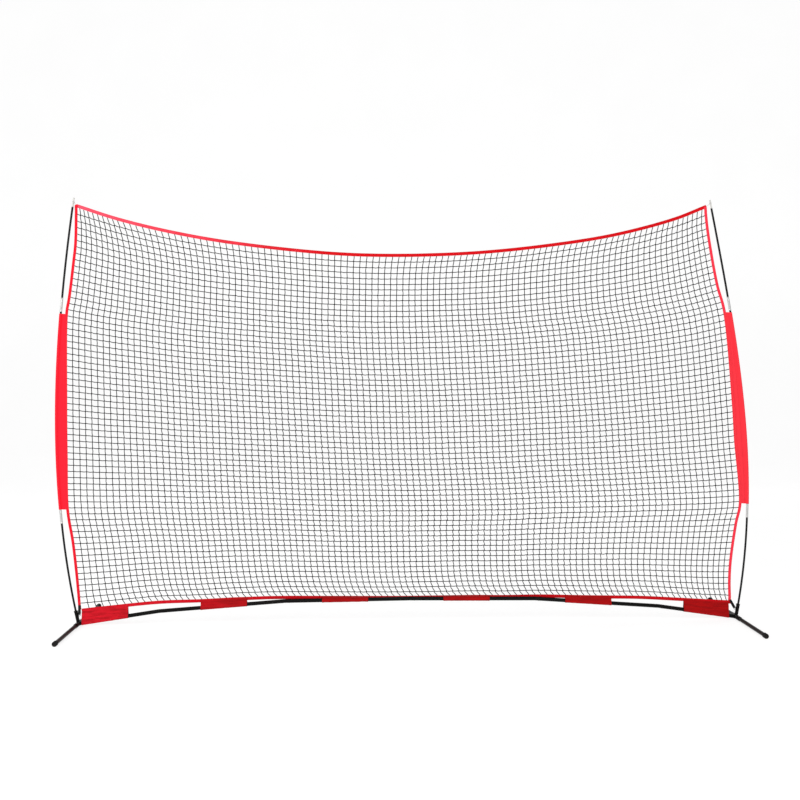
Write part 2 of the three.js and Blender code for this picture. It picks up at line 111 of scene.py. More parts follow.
class Finish:
    """A material on one Principled shader, with its maths written as expressions."""

    def __init__(self, name, **constants):
        self.material = bpy.data.materials.new(name)
        self.material.use_nodes = True
        self.tree = self.material.node_tree
        self.shader = self.tree.nodes["Principled BSDF"]
        self.set(**constants)

    def join(self, socket, value):
        if isinstance(value, Wire):
            self.tree.links.new(value.socket, socket)
        elif hasattr(value, "__len__") and socket.type == "RGBA":
            socket.default_value = (*value, 1.0)
        else:
            socket.default_value = value

    def set(self, **values):
        """Sets the shader's sockets: base_color stands for Base Color, and so on."""
        for name, value in values.items():
            label = name.replace("_", " ").title().replace("Ior", "IOR")
            self.join(self.shader.inputs[label], value)

    def node(self, kind, settings=(), values=(), out=0):
        made = self.tree.nodes.new(kind)
        for name, value in dict(settings).items():
            setattr(made, name, value)
        for name, value in dict(values).items():
            self.join(made.inputs[name], value)
        return Wire(self, made.outputs[out])

    def place(self):
        """The piece's own coordinates, in metres."""
        return self.node("ShaderNodeTexCoord", out="Object")

    def surface(self):
        """The distance along the piece and the distance round it, in metres."""
        uv = self.node("ShaderNodeTexCoord", out="UV")
        return [self.node("ShaderNodeSeparateXYZ", (), {0: uv}, k) for k in (0, 1)]

    def axes(self, vector):
        return [self.node("ShaderNodeSeparateXYZ", (), {0: vector}, k) for k in (0, 1, 2)]

    def vector(self, x, y, z=0.0):
        return self.node("ShaderNodeCombineXYZ", (), {0: x, 1: y, 2: z})

    def noise(self, vector, scale, detail=2.0, roughness=0.5):
        values = {"Vector": vector, "Scale": scale, "Detail": detail, "Roughness": roughness}
        return self.node("ShaderNodeTexNoise", (), values, "Fac")

    def blend(self, factor, first, second):
        """One colour passing into another."""
        values = {0: factor, 6: first, 7: second}
        return self.node("ShaderNodeMix", {"data_type": "RGBA"}, values, 2)

    def relief(self, height, depth):
        """A height from 0 to 1 as a bump of that depth, in metres."""
        values = {"Height": height, "Distance": depth}
        self.set(normal=self.node("ShaderNodeBump", (), values, "Normal"))


def skin(name, grid, around=True, ends=True, rings=False):
    """A mesh over points given as lines x rows x columns x 3, or rows x columns x 3. Four
    neighbouring points make a face. Around joins the last column to the first, rings joins
    the last row to the first, and ends fills the first and last row with one face each. The
    faces of a closed skin are turned outwards by the sign of its volume. The UV map holds
    the distance along the rows and the distance round the columns."""
    grid = np.asarray(grid, dtype=float)
    grid = grid[None] if grid.ndim == 3 else grid
    lines, rows, columns, _ = grid.shape
    number = np.arange(lines * rows * columns).reshape(lines, rows, columns)
    spots = grid
    if around:
        number = np.concatenate([number, number[:, :, :1]], axis=2)
        spots = np.concatenate([spots, spots[:, :, :1]], axis=2)
    if rings:
        number = np.concatenate([number, number[:, :1]], axis=1)
        spots = np.concatenate([spots, spots[:, :1]], axis=1)
    run = np.linalg.norm(np.diff(spots, axis=1), axis=-1).mean(axis=2)
    turn = np.linalg.norm(np.diff(spots, axis=2), axis=-1).max(axis=1)
    run = np.concatenate([np.zeros((lines, 1)), np.cumsum(run, axis=1)], axis=1)
    turn = np.concatenate([np.zeros((lines, 1)), np.cumsum(turn, axis=1)], axis=1)
    uv = np.stack(np.broadcast_arrays(run[:, :, None], turn[:, None, :]), axis=-1)

    def corners(values):
        sides = [values[:, :-1, :-1], values[:, :-1, 1:], values[:, 1:, 1:], values[:, 1:, :-1]]
        return np.stack(sides, axis=3).reshape(-1, 4, *values.shape[3:])

    faces, maps = [corners(number)], [corners(uv)]
    if around and ends and not rings:
        width = uv.shape[2] - 1
        faces += [number[:, 0, :-1][:, ::-1], number[:, -1, :-1]]
        maps += [uv[:, 0, :width][:, ::-1], uv[:, -1, :width]]
    points = grid.reshape(-1, 3)
    if around:
        a, b, c, d = (points[faces[0][:, k]] for k in range(4))
        volume = np.einsum("ij,ij->", np.cross(c - a, d - b), a + b + c + d)
        if volume < 0:
            faces = [f[:, ::-1] for f in faces]
            maps = [m[:, ::-1] for m in maps]
    sizes = np.concatenate([np.full(len(f), f.shape[1]) for f in faces])
    loops = np.concatenate([f.ravel() for f in faces])
    mesh = bpy.data.meshes.new(name)
    mesh.vertices.add(len(points))
    mesh.loops.add(len(loops))
    mesh.polygons.add(len(sizes))
    mesh.vertices.foreach_set("co", (points + SWAY).ravel())
    mesh.loops.foreach_set("vertex_index", loops)
    mesh.polygons.foreach_set("loop_start", np.cumsum(sizes) - sizes)
    layer = mesh.uv_layers.new(name="surface")
    layer.data.foreach_set("uv", np.concatenate([m.reshape(-1, 2) for m in maps]).ravel())
    mesh.update(calc_edges=True)
    mesh.polygons.foreach_set("use_smooth", np.ones(len(sizes), dtype=bool))
    made = bpy.data.objects.new(name, mesh)
    bpy.context.scene.collection.objects.link(made)
    return made


WALL_BACK = 9.0
WALL_BEND = 4.0
STAGE_HALF = 30.0

# The floor's section: flat to the bend, a quarter circle, and straight up.
bend = np.linspace(0, np.pi / 2, 24)
section = np.concatenate([
    [[-STAGE_HALF, 0.0]],
    np.stack([WALL_BACK + WALL_BEND * np.sin(bend), WALL_BEND * (1 - np.cos(bend))], axis=1),
    [[WALL_BACK + WALL_BEND, STAGE_HALF]],
])
sweep = np.linspace(-STAGE_HALF, STAGE_HALF, 5)
floor_grid = np.stack(np.broadcast_arrays(sweep[None, :], section[:, :1], section[:, 1:]), axis=-1)
floor = skin("floor", floor_grid, around=False)
paper = Finish("white_paper", roughness=0.9, specular_ior_level=0.1, emission_strength=0.80)
mottle = paper.noise(paper.place(), 1.5)
paper.set(base_color=paper.blend(mottle, (0.24, 0.24, 0.24), (0.27, 0.27, 0.27)))
paper.set(emission_color=(1.0, 1.0, 1.0))
floor.data.materials.append(paper.material)


def lamp(name, place, turn, size, watts):
    light = bpy.data.lights.new(name, "AREA")
    light.shape = "RECTANGLE"
    light.size, light.size_y = size
    light.energy = watts
    stand = bpy.data.objects.new(name, light)
    stand.location = place
    stand.rotation_euler = np.radians(turn)
    bpy.context.scene.collection.objects.link(stand)


lamp("front_light", (0.5, -9.0, 7.0), (52, 0, 0), (9.0, 5.0), 520)
lamp("left_light", (-7.5, -5.0, 4.5), (68, 0, -58), (3.0, 4.0), 300)

room = bpy.data.worlds.new("room")
room.use_nodes = True
room.node_tree.nodes["Background"].inputs["Color"].default_value = (1.0, 1.0, 1.0, 1.0)
room.node_tree.nodes["Background"].inputs["Strength"].default_value = 0.42
bpy.context.scene.world = room

# ---- base bar ---------------------------------------------------------------------------
# Four round steel tubes in black powder coat plug into each other from hub to hub. One end
# of each is drawn down to a swage that slides into the next tube, and the net's pull bows
# the whole bar upwards, so that it kinks a little at every joint.

HALF_SPAN = 2.4385
TUBE_R = 0.014
TUBE_BORE_R = 0.0125
SWAGE_R = 0.0122
SWAGE_BORE_R = 0.0107
SWAGE_LENGTH = 0.060
END_GAP = 0.0013
BUTTON_HOLE_R = 0.00435
BAR_BUTTON_AT = 0.032
PAST_SWAGE = 0.07
TUBE_SIDES = 40
BIT = np.array([0.0, 0.0, 0.03])  # a drill bit's length, upwards
BACK = np.array([0.0, 1.0, 0.0])
BAR_JOINTS = np.array([
    [-HALF_SPAN, 0, 0.0177], [-1.850, 0, 0.103], [-0.925, 0, 0.168], [0, 0, 0.177],
    [0.925, 0, 0.168], [1.850, 0, 0.103], [HALF_SPAN, 0, 0.0177],
])


def full_turn(count):
    """Angles evenly spaced once round a circle."""
    return 2 * np.pi * np.arange(count) / count


class Course:
    """A line through space, read by the distance along it. The side axis is square to the
    line and as near as it can be to a given direction, and the up axis is square to both."""

    def __init__(self, points, side=(0.0, 1.0, 0.0)):
        self.points = np.asarray(points, dtype=float)
        steps = np.linalg.norm(np.diff(self.points, axis=0), axis=1)
        self.marks = np.concatenate([[0.0], np.cumsum(steps)])
        self.length = self.marks[-1]
        self.side = np.asarray(side, dtype=float)

    def at(self, distance):
        places = [np.interp(distance, self.marks, self.points[:, k]) for k in range(3)]
        return np.stack(places, axis=-1)

    def axes(self, distance):
        distance = np.clip(distance, 0.0, self.length)
        way = self.at(distance + 0.001) - self.at(distance - 0.001)
        way /= np.linalg.norm(way, axis=-1, keepdims=True)
        side = self.side - way * (way @ self.side)[..., None]
        side /= np.linalg.norm(side, axis=-1, keepdims=True)
        return side, np.cross(way, side)

    def carry(self, distance, profile):
        """A grid: profile points, given along the side and up axes, set at each distance."""
        side, up = self.axes(distance)
        profile = np.broadcast_to(profile, (len(distance), *np.shape(profile)[-2:]))
        across = profile[..., :1] * side[:, None] + profile[..., 1:] * up[:, None]
        return self.at(distance)[:, None] + across

    def turned(self, profile, sides):
        """A grid of circles about the line: profile holds a distance and a radius a row."""
        profile = np.asarray(profile, dtype=float)
        turn = full_turn(sides)
        circle = np.stack([np.cos(turn), np.sin(turn)], axis=-1)
        return self.carry(profile[:, 0], profile[:, 1, None, None] * circle)


def drill(piece, start, end, radius):
    """Cuts a round hole through a piece with a Boolean, and keeps the cut mesh."""
    bit = skin("bit", Course([start, end]).turned([(0, radius), (1, radius)], 20))
    cut = piece.modifiers.new("hole", "BOOLEAN")
    cut.operation = "DIFFERENCE"
    cut.solver = "EXACT"
    cut.object = bit
    whole = bpy.context.evaluated_depsgraph_get()
    mesh = bpy.data.meshes.new_from_object(piece.evaluated_get(whole))
    piece.modifiers.clear()
    piece.data = mesh
    bpy.data.objects.remove(bit)


def dress(piece, finish, slot, *nodes, body="stand_and_net"):
    """Gives a piece its finish, ties it to its body, and hides the CAD nodes it replaces. Slot is
    not used.
    """
    piece.data.materials.clear()
    piece.data.materials.append(finish.material)
    piece.data.set_sharp_from_angle(angle=np.radians(38))
    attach(piece, body)
    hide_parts(*nodes)
    return piece


def tube_profile(length):
    """A tube's wall as one closed ring of distance and radius: out along the outside, over
    the shoulder and swage, and back along the bore."""
    tip = length + SWAGE_LENGTH
    return [
        (END_GAP, 0.0134), (END_GAP + 0.0005, 0.01385), (END_GAP + 0.0014, TUBE_R),
        (length - 0.0012, TUBE_R), (length - 0.0004, 0.01375), (length, 0.0131),
        (length + 0.0006, SWAGE_R + 0.0001), (tip - 0.003, SWAGE_R),
        (tip - 0.0006, SWAGE_R - 0.0004), (tip, SWAGE_R - 0.001),
        (tip, SWAGE_BORE_R + 0.0002), (tip - 0.001, SWAGE_BORE_R),
        (length - 0.006, SWAGE_BORE_R), (length - 0.014, TUBE_BORE_R),
        (END_GAP, TUBE_BORE_R),
    ]


def toward(start, end, distance):
    """The point at a distance from start towards end."""
    step = np.asarray(end) - start
    return start + step * (distance / np.linalg.norm(step))


powder = Finish("black_powder_coat", specular_ior_level=0.07, coat_roughness=0.25)
spot = powder.place()
cloud = powder.noise(spot, 9.0, 4.0)
x, y, z = powder.axes(spot)
worn = powder.noise(powder.vector(x * 14, y * 60, z * 60), 3.0, 6.0, 0.65).above(0.66, 0.08)
coat = powder.blend(cloud, (0.0016, 0.0014, 0.0013), (0.0045, 0.0039, 0.0036))
powder.set(
    base_color=powder.blend(worn, coat, (0.018, 0.016, 0.015)),
    roughness=(0.34 + cloud * 0.14 + worn * 0.15).kept(),
    coat_weight=(0.03 - worn * 0.03).kept(),
)
powder.relief(powder.noise(spot, 900.0, 2.0) * 0.6 + cloud * 0.4, 0.00012)

for i in range(1, 5):
    start, end = BAR_JOINTS[i], BAR_JOINTS[i + 1]
    beyond = toward(end, BAR_JOINTS[i + 2], PAST_SWAGE)
    tube_course = Course([start, end, beyond])
    wall = tube_profile(np.linalg.norm(end - start))
    tube = skin(f"base_tube_{i}_steel", tube_course.turned(wall, TUBE_SIDES), rings=True)
    for near_end, far_end in ((start, end), (end, beyond)):
        hole = toward(near_end, far_end, BAR_BUTTON_AT)
        drill(tube, hole, hole - BIT, BUTTON_HOLE_R)
    dress(tube, powder, "steel_tube", f"base_tube_{i}")

# ---- hubs -------------------------------------------------------------------------------
# Each end of the bar is one welded steel piece: a cross tube that takes both legs, the
# first arm of the bar, a leaning socket for the pole with a rolled collar, and a wire eye
# for the corner strap. The welds show as rippled beads under the same powder coat.

LEG_AXIS_Z = 0.0172
SOCKET_R = 0.0165
SOCKET_BORE_R = 0.0144
SOCKET_REACH = 0.095
LEG_BUTTON_AT = 0.060
POLE_SOCKET_R = 0.0128
POLE_SOCKET_TOP = 0.092
EYE_AT = 0.058
EYE_RING_R = 0.0065
EYE_WIRE_R = 0.002
ARM_START = 0.010
BEAD_R = 0.0023


def bow(foot, low, high, tip):
    """A pole's line: the cubic Bezier curve from its foot to its tip with two handles."""
    t = np.linspace(0, 1, 800)[:, None]
    foot, low, high, tip = (np.array([p[0], 0.0, p[1]]) for p in (foot, low, high, tip))
    weights = ((1 - t) ** 3, 3 * (1 - t) ** 2 * t, 3 * (1 - t) * t ** 2, t ** 3)
    return Course(sum(w * p for w, p in zip(weights, (foot, low, high, tip))))


POLES = {
    "left": bow((-HALF_SPAN, 0.022), (-2.665, 1.055), (-2.594, 2.105), (-2.439, 3.135)),
    "right": bow((HALF_SPAN, 0.022), (2.641, 1.082), (2.437, 2.091), (2.234, 3.121)),
}


def socket_course(side):
    """The pole socket's straight axis, from the hub's centre to the socket's mouth."""
    pole = POLES[side]
    return Course([pole.at(0.0), pole.at(POLE_SOCKET_TOP)])


def eye_at(side):
    inward = 1 if side == "left" else -1
    return socket_course(side).at(EYE_AT) + (inward * (POLE_SOCKET_R + EYE_RING_R), 0, 0)


def wire_ring(centre, ring_r, wire_r):
    """A torus lying in the net's plane."""
    a, b = full_turn(48)[:, None], full_turn(12)[None, :]
    reach = ring_r + wire_r * np.cos(b)
    x, y, z = reach * np.cos(a), wire_r * np.sin(b) + 0 * a, reach * np.sin(a)
    return np.stack([x, y, z], axis=-1) + centre


def weld_bead(course, tube_r, lift=0.0):
    """A bead where a tube meets the cross tube: round the tube by an angle a, it stands off
    by the root of SOCKET_R squared less the square of its height, and ripples as it goes.
    Lift is how far the course starts outside the cross tube's axis."""
    a, b = full_turn(96), full_turn(10)
    side, up = course.axes(np.zeros(1))
    way = np.cross(side, up)
    stand = np.sqrt(np.maximum(SOCKET_R ** 2 - (tube_r * np.sin(a)) ** 2, 0.0)) - lift
    out = np.cos(a)[:, None] * side + np.sin(a)[:, None] * up
    middle = course.at(0.0) + out * tube_r + way * stand[:, None]
    size = BEAD_R * (1 + 0.13 * np.abs(np.sin(14 * a)))[:, None, None]
    around = np.cos(b)[None, :, None] * out[:, None] + np.sin(b)[None, :, None] * way[:, None]
    return middle[:, None] + size * around


def joined(name, parts):
    """Several closed skins as one piece."""
    whole = bmesh.new()
    for part in parts:
        whole.from_mesh(part.data)
        bpy.data.objects.remove(part)
    mesh = bpy.data.meshes.new(name)
    whole.to_mesh(mesh)
    whole.free()
    made = bpy.data.objects.new(name, mesh)
    bpy.context.scene.collection.objects.link(made)
    return made


for side, hand in (("left", 1), ("right", -1)):
    centre = np.array([-hand * HALF_SPAN, 0.0, LEG_AXIS_Z])
    first, second = BAR_JOINTS[::hand][1], BAR_JOINTS[::hand][2]
    cross = Course([centre - (0, SOCKET_REACH, 0), centre + (0, SOCKET_REACH, 0)], side=(1, 0, 0))
    mouth = [(0.0, 0.0150), (0.0004, 0.0160), (0.0014, SOCKET_R)]
    cross_wall = mouth + [(2 * SOCKET_REACH - s, r) for s, r in mouth[::-1]]
    cross_wall += [(2 * SOCKET_REACH, SOCKET_BORE_R), (0.0, SOCKET_BORE_R)]
    cross_tube = skin("cross", cross.turned(cross_wall, 44), rings=True)
    for way in (-1, 1):
        hole = centre + (0, way * LEG_BUTTON_AT, 0)
        drill(cross_tube, hole, hole + BIT, BUTTON_HOLE_R)

    reach = np.linalg.norm(first - centre)
    wall = [(ARM_START, TUBE_BORE_R), (ARM_START, TUBE_R)]
    if side == "left":
        arm = Course([centre, first, toward(first, second, PAST_SWAGE)])
        wall += tube_profile(reach)[3:-1] + [(2 * ARM_START, TUBE_BORE_R)]
        hole = toward(first, second, BAR_BUTTON_AT)
    else:
        arm = Course([centre, first])
        edge = reach - END_GAP
        wall += [(edge - 0.0014, TUBE_R), (edge - 0.0005, 0.01385)]
        wall += [(edge, 0.0134), (edge, TUBE_BORE_R)]
        hole = toward(first, centre, BAR_BUTTON_AT)
    arm_tube = skin("arm", arm.turned(wall, TUBE_SIDES), rings=True)
    drill(arm_tube, hole, hole - BIT, BUTTON_HOLE_R)

    axis = socket_course(side)
    top = POLE_SOCKET_TOP
    cup = [(0.004, POLE_SOCKET_R), (top - 0.0125, POLE_SOCKET_R), (top - 0.0115, 0.0137)]
    cup += [(top - 0.0095, 0.0140), (top - 0.003, 0.0140), (top - 0.001, 0.0136), (top, 0.0126)]
    cup += [(top, 0.0088), (top - 0.0008, 0.0082), (0.023, 0.0082)]
    parts = [cross_tube, arm_tube, skin("cup", axis.turned(cup, 36))]
    parts.append(skin("eye", wire_ring(eye_at(side), EYE_RING_R, EYE_WIRE_R), rings=True))
    parts.append(skin("bead", weld_bead(arm, TUBE_R), rings=True))
    lift = axis.at(0.0)[2] - LEG_AXIS_Z
    parts.append(skin("bead", weld_bead(axis, POLE_SOCKET_R, lift), rings=True))
    seat = axis.at(EYE_AT) + (hand * (POLE_SOCKET_R + 0.0006), 0, 0)
    blob = Course([seat - (0, 0, 0.0055), seat + (0, 0, 0.0055)])
    knob = 0.0026 * np.sin(np.linspace(0.15, np.pi - 0.15, 9))
    parts.append(skin("bead", blob.turned(np.stack([np.linspace(0, 0.011, 9), knob], axis=1), 12)))
    hub = joined(f"hub_{side}_weldment", parts)
    dress(hub, powder, "steel_tube", f"hub_{side}")

# ---- legs and foot caps -----------------------------------------------------------------
# Four straight tubes plug into the hubs, two to each, and stand on moulded rubber caps.
# A cap has a lip, grip grooves and a rounded end, and its underside is cut flat.

LEG_REACH = 0.625
LEG_INNER = 0.020
CAP_R = 0.018
CAP_START = LEG_REACH - 0.034
CAP_END = LEG_REACH + 0.012
CAP_BORE_R = 0.0143
GROOVES = 5

rubber = Finish("moulded_rubber", specular_ior_level=0.2)
spot = rubber.place()
grain = rubber.noise(spot, 700.0, 3.0)
dirt = (rubber.axes(spot)[2] * -70 + 1.1 + (rubber.noise(spot, 90.0, 4.0) - 0.5)).kept()
rubber.set(
    base_color=rubber.blend(dirt * 0.55, (0.005, 0.0047, 0.0045), (0.045, 0.039, 0.032)),
    roughness=(0.62 + grain * 0.2 + dirt * 0.1).kept(),
)
rubber.relief(grain, 0.00025)

groove = np.repeat(np.arange(GROOVES) * 0.0058 + CAP_START + 0.0085, 4)
groove = groove + np.tile([0.0, 0.0006, 0.0022, 0.0028], GROOVES)
groove_r = np.tile([0.0, -0.0009, -0.0009, 0.0], GROOVES) + CAP_R
cap_profile = np.concatenate([
    [(LEG_REACH + 0.0004, 0.0008), (LEG_REACH + 0.0004, CAP_BORE_R), (CAP_START, CAP_BORE_R)],
    [(CAP_START, 0.0150), (CAP_START + 0.0004, 0.0157), (CAP_START + 0.0022, 0.0161)],
    [(CAP_START + 0.0040, 0.0162), (CAP_START + 0.0052, 0.0174), (CAP_START + 0.0064, CAP_R)],
    np.stack([groove, groove_r], axis=1),
    [(CAP_END - 0.0042, CAP_R), (CAP_END - 0.0024, 0.0175), (CAP_END - 0.0009, 0.0165)],
    [(CAP_END, 0.0148), (CAP_END, 0.0110), (CAP_END - 0.0012, 0.0100), (CAP_END - 0.0012, 0.0008)],
])
for side, hand in (("left", -1), ("right", 1)):
    for end, way in (("front", -1), ("rear", 1)):
        body = f"{end}_{side}_leg"
        hub_at = np.array([hand * HALF_SPAN, 0.0, LEG_AXIS_Z])
        leg_course = Course([hub_at, hub_at + (0, way * (CAP_END + 0.01), 0)], side=(1, 0, 0))
        wall = [(LEG_INNER, 0.0131), (LEG_INNER + 0.0009, TUBE_R), (LEG_REACH - 0.001, TUBE_R)]
        wall += [(LEG_REACH, 0.0131), (LEG_REACH, TUBE_BORE_R), (LEG_INNER, TUBE_BORE_R)]
        leg = skin(f"leg_{end}_{side}_steel", leg_course.turned(wall, TUBE_SIDES), rings=True)
        hole = hub_at + (0, way * LEG_BUTTON_AT, 0)
        drill(leg, hole, hole + BIT, BUTTON_HOLE_R)
        dress(leg, powder, "steel_tube", f"leg_{end}_{side}", body=body)

        cap_grid = leg_course.turned(cap_profile, 72)
        cap_grid[..., 2] = np.maximum(cap_grid[..., 2], 0.0)
        cap = skin(f"foot_cap_{end}_{side}_rubber", cap_grid)
        dress(cap, rubber, "rubber_cap", f"foot_cap_{end}_{side}", body=body)

# ---- spring buttons ---------------------------------------------------------------------
# Zinc plated snap buttons lock each leg in its socket and each joint of the bar. A button
# is a domed pin on a wider flange, which a leaf spring inside the tube pushes outwards.

BUTTON_R = 0.004
BUTTON_FLANGE_R = 0.0056
BUTTON_SUNK = 0.0042
BUTTON_PROUD = 0.0025
DOME = 0.0018

zinc = Finish("zinc_plate", metallic=1.0)
spot = zinc.place()
bloom = zinc.noise(spot, 260.0, 4.0)
zinc.set(
    base_color=zinc.blend(bloom, (0.50, 0.50, 0.48), (0.66, 0.66, 0.65)),
    roughness=(0.22 + bloom * 0.22).kept(),
)
zinc.relief(zinc.noise(spot, 1500.0, 2.0), 0.00006)


def button_grid(axis_point, way, bore_r, outside_r):
    """A flange, a straight pin and a dome, turned about a line that leaves the tube's axis."""
    floor_r, top_r = bore_r - BUTTON_SUNK, outside_r + BUTTON_PROUD
    axis = Course([axis_point, axis_point + way * BIT])
    rise = np.linspace(0, np.pi / 2, 7)[1:]
    dome_r = 0.0003 + (BUTTON_R - 0.0003) * np.cos(rise)
    dome = np.stack([top_r - DOME + DOME * np.sin(rise), dome_r], axis=1)
    profile = [(floor_r, BUTTON_FLANGE_R - 0.0003), (floor_r + 0.0003, BUTTON_FLANGE_R)]
    profile += [(floor_r + 0.0013, BUTTON_FLANGE_R), (floor_r + 0.0016, BUTTON_FLANGE_R - 0.0003)]
    profile += [(floor_r + 0.0016, BUTTON_R), (top_r - DOME, BUTTON_R)]
    return axis.turned(np.concatenate([profile, dome]), 28)


for side, hand in (("left", -1), ("right", 1)):
    for end, way in (("front", -1), ("rear", 1)):
        at = (hand * HALF_SPAN, way * LEG_BUTTON_AT, LEG_AXIS_Z)
        pin = skin(f"leg_button_{end}_{side}_pin", button_grid(at, 1, TUBE_BORE_R, SOCKET_R))
        dress(pin, zinc, "button", f"leg_button_{end}_{side}", body=f"{end}_{side}_leg_button")
for i in range(1, 6):
    at = toward(BAR_JOINTS[i], BAR_JOINTS[i + 1], BAR_BUTTON_AT)
    pin = skin(f"bar_button_{i}_pin", button_grid(at, -1, SWAGE_BORE_R, TUBE_R))
    dress(pin, zinc, "button", f"bar_button_{i}", body=f"bar_button_{i}")

# ---- poles, ferrules, tips and shock cords ----------------------------------------------
# Each pole is four hollow glass-fibre rods in black resin, joined by pale metal ferrules,
# with a plastic tip at the top. An elastic cord runs through all four so that they fold up
# without coming apart. The net's pull bends both poles into long bows.

POLE_R = 0.0075
POLE_BORE_R = 0.0046
POLE_FOOT = 0.024
FERRULE_R = 0.0089
FERRULE_BORE_R = 0.0083
FERRULE_LENGTH = 0.102
FERRULES = (0.794, 1.570, 2.345)
TUBE_TOP = 3.062
TIP_R = 0.0064
TIP_NECK_R = 0.0042
GROOVE_R = TIP_R - 0.0005
SHOCK_CORD_R = 0.002

fibre = Finish("glass_fibre", specular_ior_level=0.14, coat_roughness=0.12)
run, turn = fibre.surface()
strand = fibre.noise(fibre.vector(run * 12, turn * 900), 1.0, 4.0, 0.6)
fibre.set(
    base_color=fibre.blend(strand, (0.0015, 0.0015, 0.0017), (0.007, 0.007, 0.0075)),
    roughness=(0.26 + strand * 0.2).kept(),
    coat_weight=(0.10 - strand * 0.08).kept(),
)
fibre.relief(strand, 0.00008)

satin = Finish("satin_metal", metallic=0.6, specular_ior_level=0.5)
run, turn = satin.surface()
drawn = satin.noise(satin.vector(run * 9, turn * 1500), 1.0, 3.0)
rub = satin.noise(satin.place(), 120.0, 4.0)
satin.set(
    base_color=satin.blend(rub, (0.46, 0.46, 0.46), (0.62, 0.62, 0.61)),
    roughness=(0.30 + drawn * 0.16 + rub * 0.06).kept(),
)
satin.relief(drawn, 0.00005)

moulded = Finish("pale_plastic", specular_ior_level=0.5)
spot = moulded.place()
haze = moulded.noise(spot, 70.0, 4.0)
moulded.set(
    base_color=moulded.blend(haze, (0.50, 0.49, 0.47), (0.64, 0.63, 0.60)),
    roughness=(0.36 + haze * 0.2).kept(),
)
moulded.relief(moulded.noise(spot, 1100.0, 2.0), 0.00008)

braid = Finish("elastic_braid", roughness=0.75, sheen_weight=0.3)
run, turn = braid.surface()
left_lay, right_lay = (run * 420 + turn * 900).sine(1.0), (run * 420 - turn * 900).sine(1.0)
plait = (left_lay * right_lay * 0.5 + 0.5).kept()
braid.set(base_color=braid.blend(plait, (0.42, 0.42, 0.41), (0.74, 0.74, 0.72)))
braid.relief(plait, 0.0003)

for side, pole in POLES.items():
    ends = (POLE_FOOT, *FERRULES, TUBE_TOP)
    for i in range(4):
        low, high = ends[i] + 0.0004 * (i > 0), ends[i + 1] - 0.0004 * (i < 3)
        steps = np.linspace(low + 0.0006, high - 0.0006, 34)
        outer = np.concatenate([[low], steps, [high]])
        outer_r = np.r_[POLE_R - 0.0006, np.full(34, POLE_R), POLE_R - 0.0006]
        inner = np.linspace(high, low, 18)
        wall = np.stack([np.r_[outer, inner], np.r_[outer_r, np.full(18, POLE_BORE_R)]], axis=1)
        rod = skin(f"pole_{side}_{i + 1}_rod", pole.turned(wall, 28), rings=True)
        dress(rod, fibre, "fibreglass", f"pole_{side}_{i + 1}")
    for i, middle in enumerate(FERRULES):
        # Rolled lips, and a crimped ring near each end.
        half = FERRULE_LENGTH / 2
        offsets = np.array([0, 0.5, 2.2, 3.0, 10.0, 10.8, 12.8, 13.6, 30.0, 42.0]) / 1000 - half
        steps = (-0.0004, 0.0004, 0.0004, 0.0, 0.0, -0.0004, -0.0004, 0.0, 0.0, 0.0)
        radii = FERRULE_R + np.array(steps)
        outer = np.concatenate([offsets, [0.0], -offsets[::-1]])
        outer_r = np.concatenate([radii, [FERRULE_R], radii[::-1]])
        inner = np.linspace(half, -half, 9)
        wall_r = np.r_[outer_r, np.full(9, FERRULE_BORE_R)]
        wall = np.stack([middle + np.r_[outer, inner], wall_r], axis=1)
        tube = skin(f"pole_ferrule_{side}_{i + 1}_tube", pole.turned(wall, 36), rings=True)
        dress(tube, satin, "ferrule", f"pole_ferrule_{side}_{i + 1}")
    end = pole.length
    rise = np.linspace(0, np.pi / 2, 9)[1:]
    dome_r = 0.0002 + (TIP_R - 0.0002) * np.cos(rise)
    dome = np.stack([end - 0.006 + 0.006 * np.sin(rise), dome_r], axis=1)
    tip_profile = np.concatenate([
        [(TUBE_TOP - 0.025, TIP_NECK_R - 0.0006), (TUBE_TOP - 0.024, TIP_NECK_R)],
        [(TUBE_TOP + 0.0005, TIP_NECK_R)],
        [(TUBE_TOP + 0.0005, 0.0070), (TUBE_TOP + 0.0012, 0.0075), (TUBE_TOP + 0.0050, 0.0075)],
        [(TUBE_TOP + 0.0058, TIP_R)],
        [(TUBE_TOP + 0.034, TIP_R), (TUBE_TOP + 0.0348, GROOVE_R)],
        [(TUBE_TOP + 0.0412, GROOVE_R), (TUBE_TOP + 0.042, TIP_R), (end - 0.006, TIP_R)],
        dome,
    ])
    tip = skin(f"pole_tip_{side}_moulding", pole.turned(tip_profile, 32))
    dress(tip, moulded, "tip_plastic", f"pole_tip_{side}")
    inside = np.linspace(POLE_FOOT + 0.004, TUBE_TOP - 0.027, 90)
    elastic = skin(
        f"shock_cord_{side}_elastic",
        pole.turned(np.stack([inside, np.full(90, SHOCK_CORD_R)], axis=1), 10),
    )
    dress(elastic, braid, "elastic", f"shock_cord_{side}")

# ---- the knotted net --------------------------------------------------------------------
# Black twine knotted into square cells of about 46 mm, 106 across and 65 high. It is hung
# between the four hems, so its rows follow the hems' curves and even out between them. The
# knots take up a little turn where the net is slack, and each twine jogs at every knot.

COLUMNS = 106
ROWS = 65
TWINE_R = 0.0029
KNOT_R = 0.0047
KNOT_REACH = 0.0062
TAPE_COVER = 0.004
HEM_HALF = 0.012
SIDE_HEM_HALF = 0.010


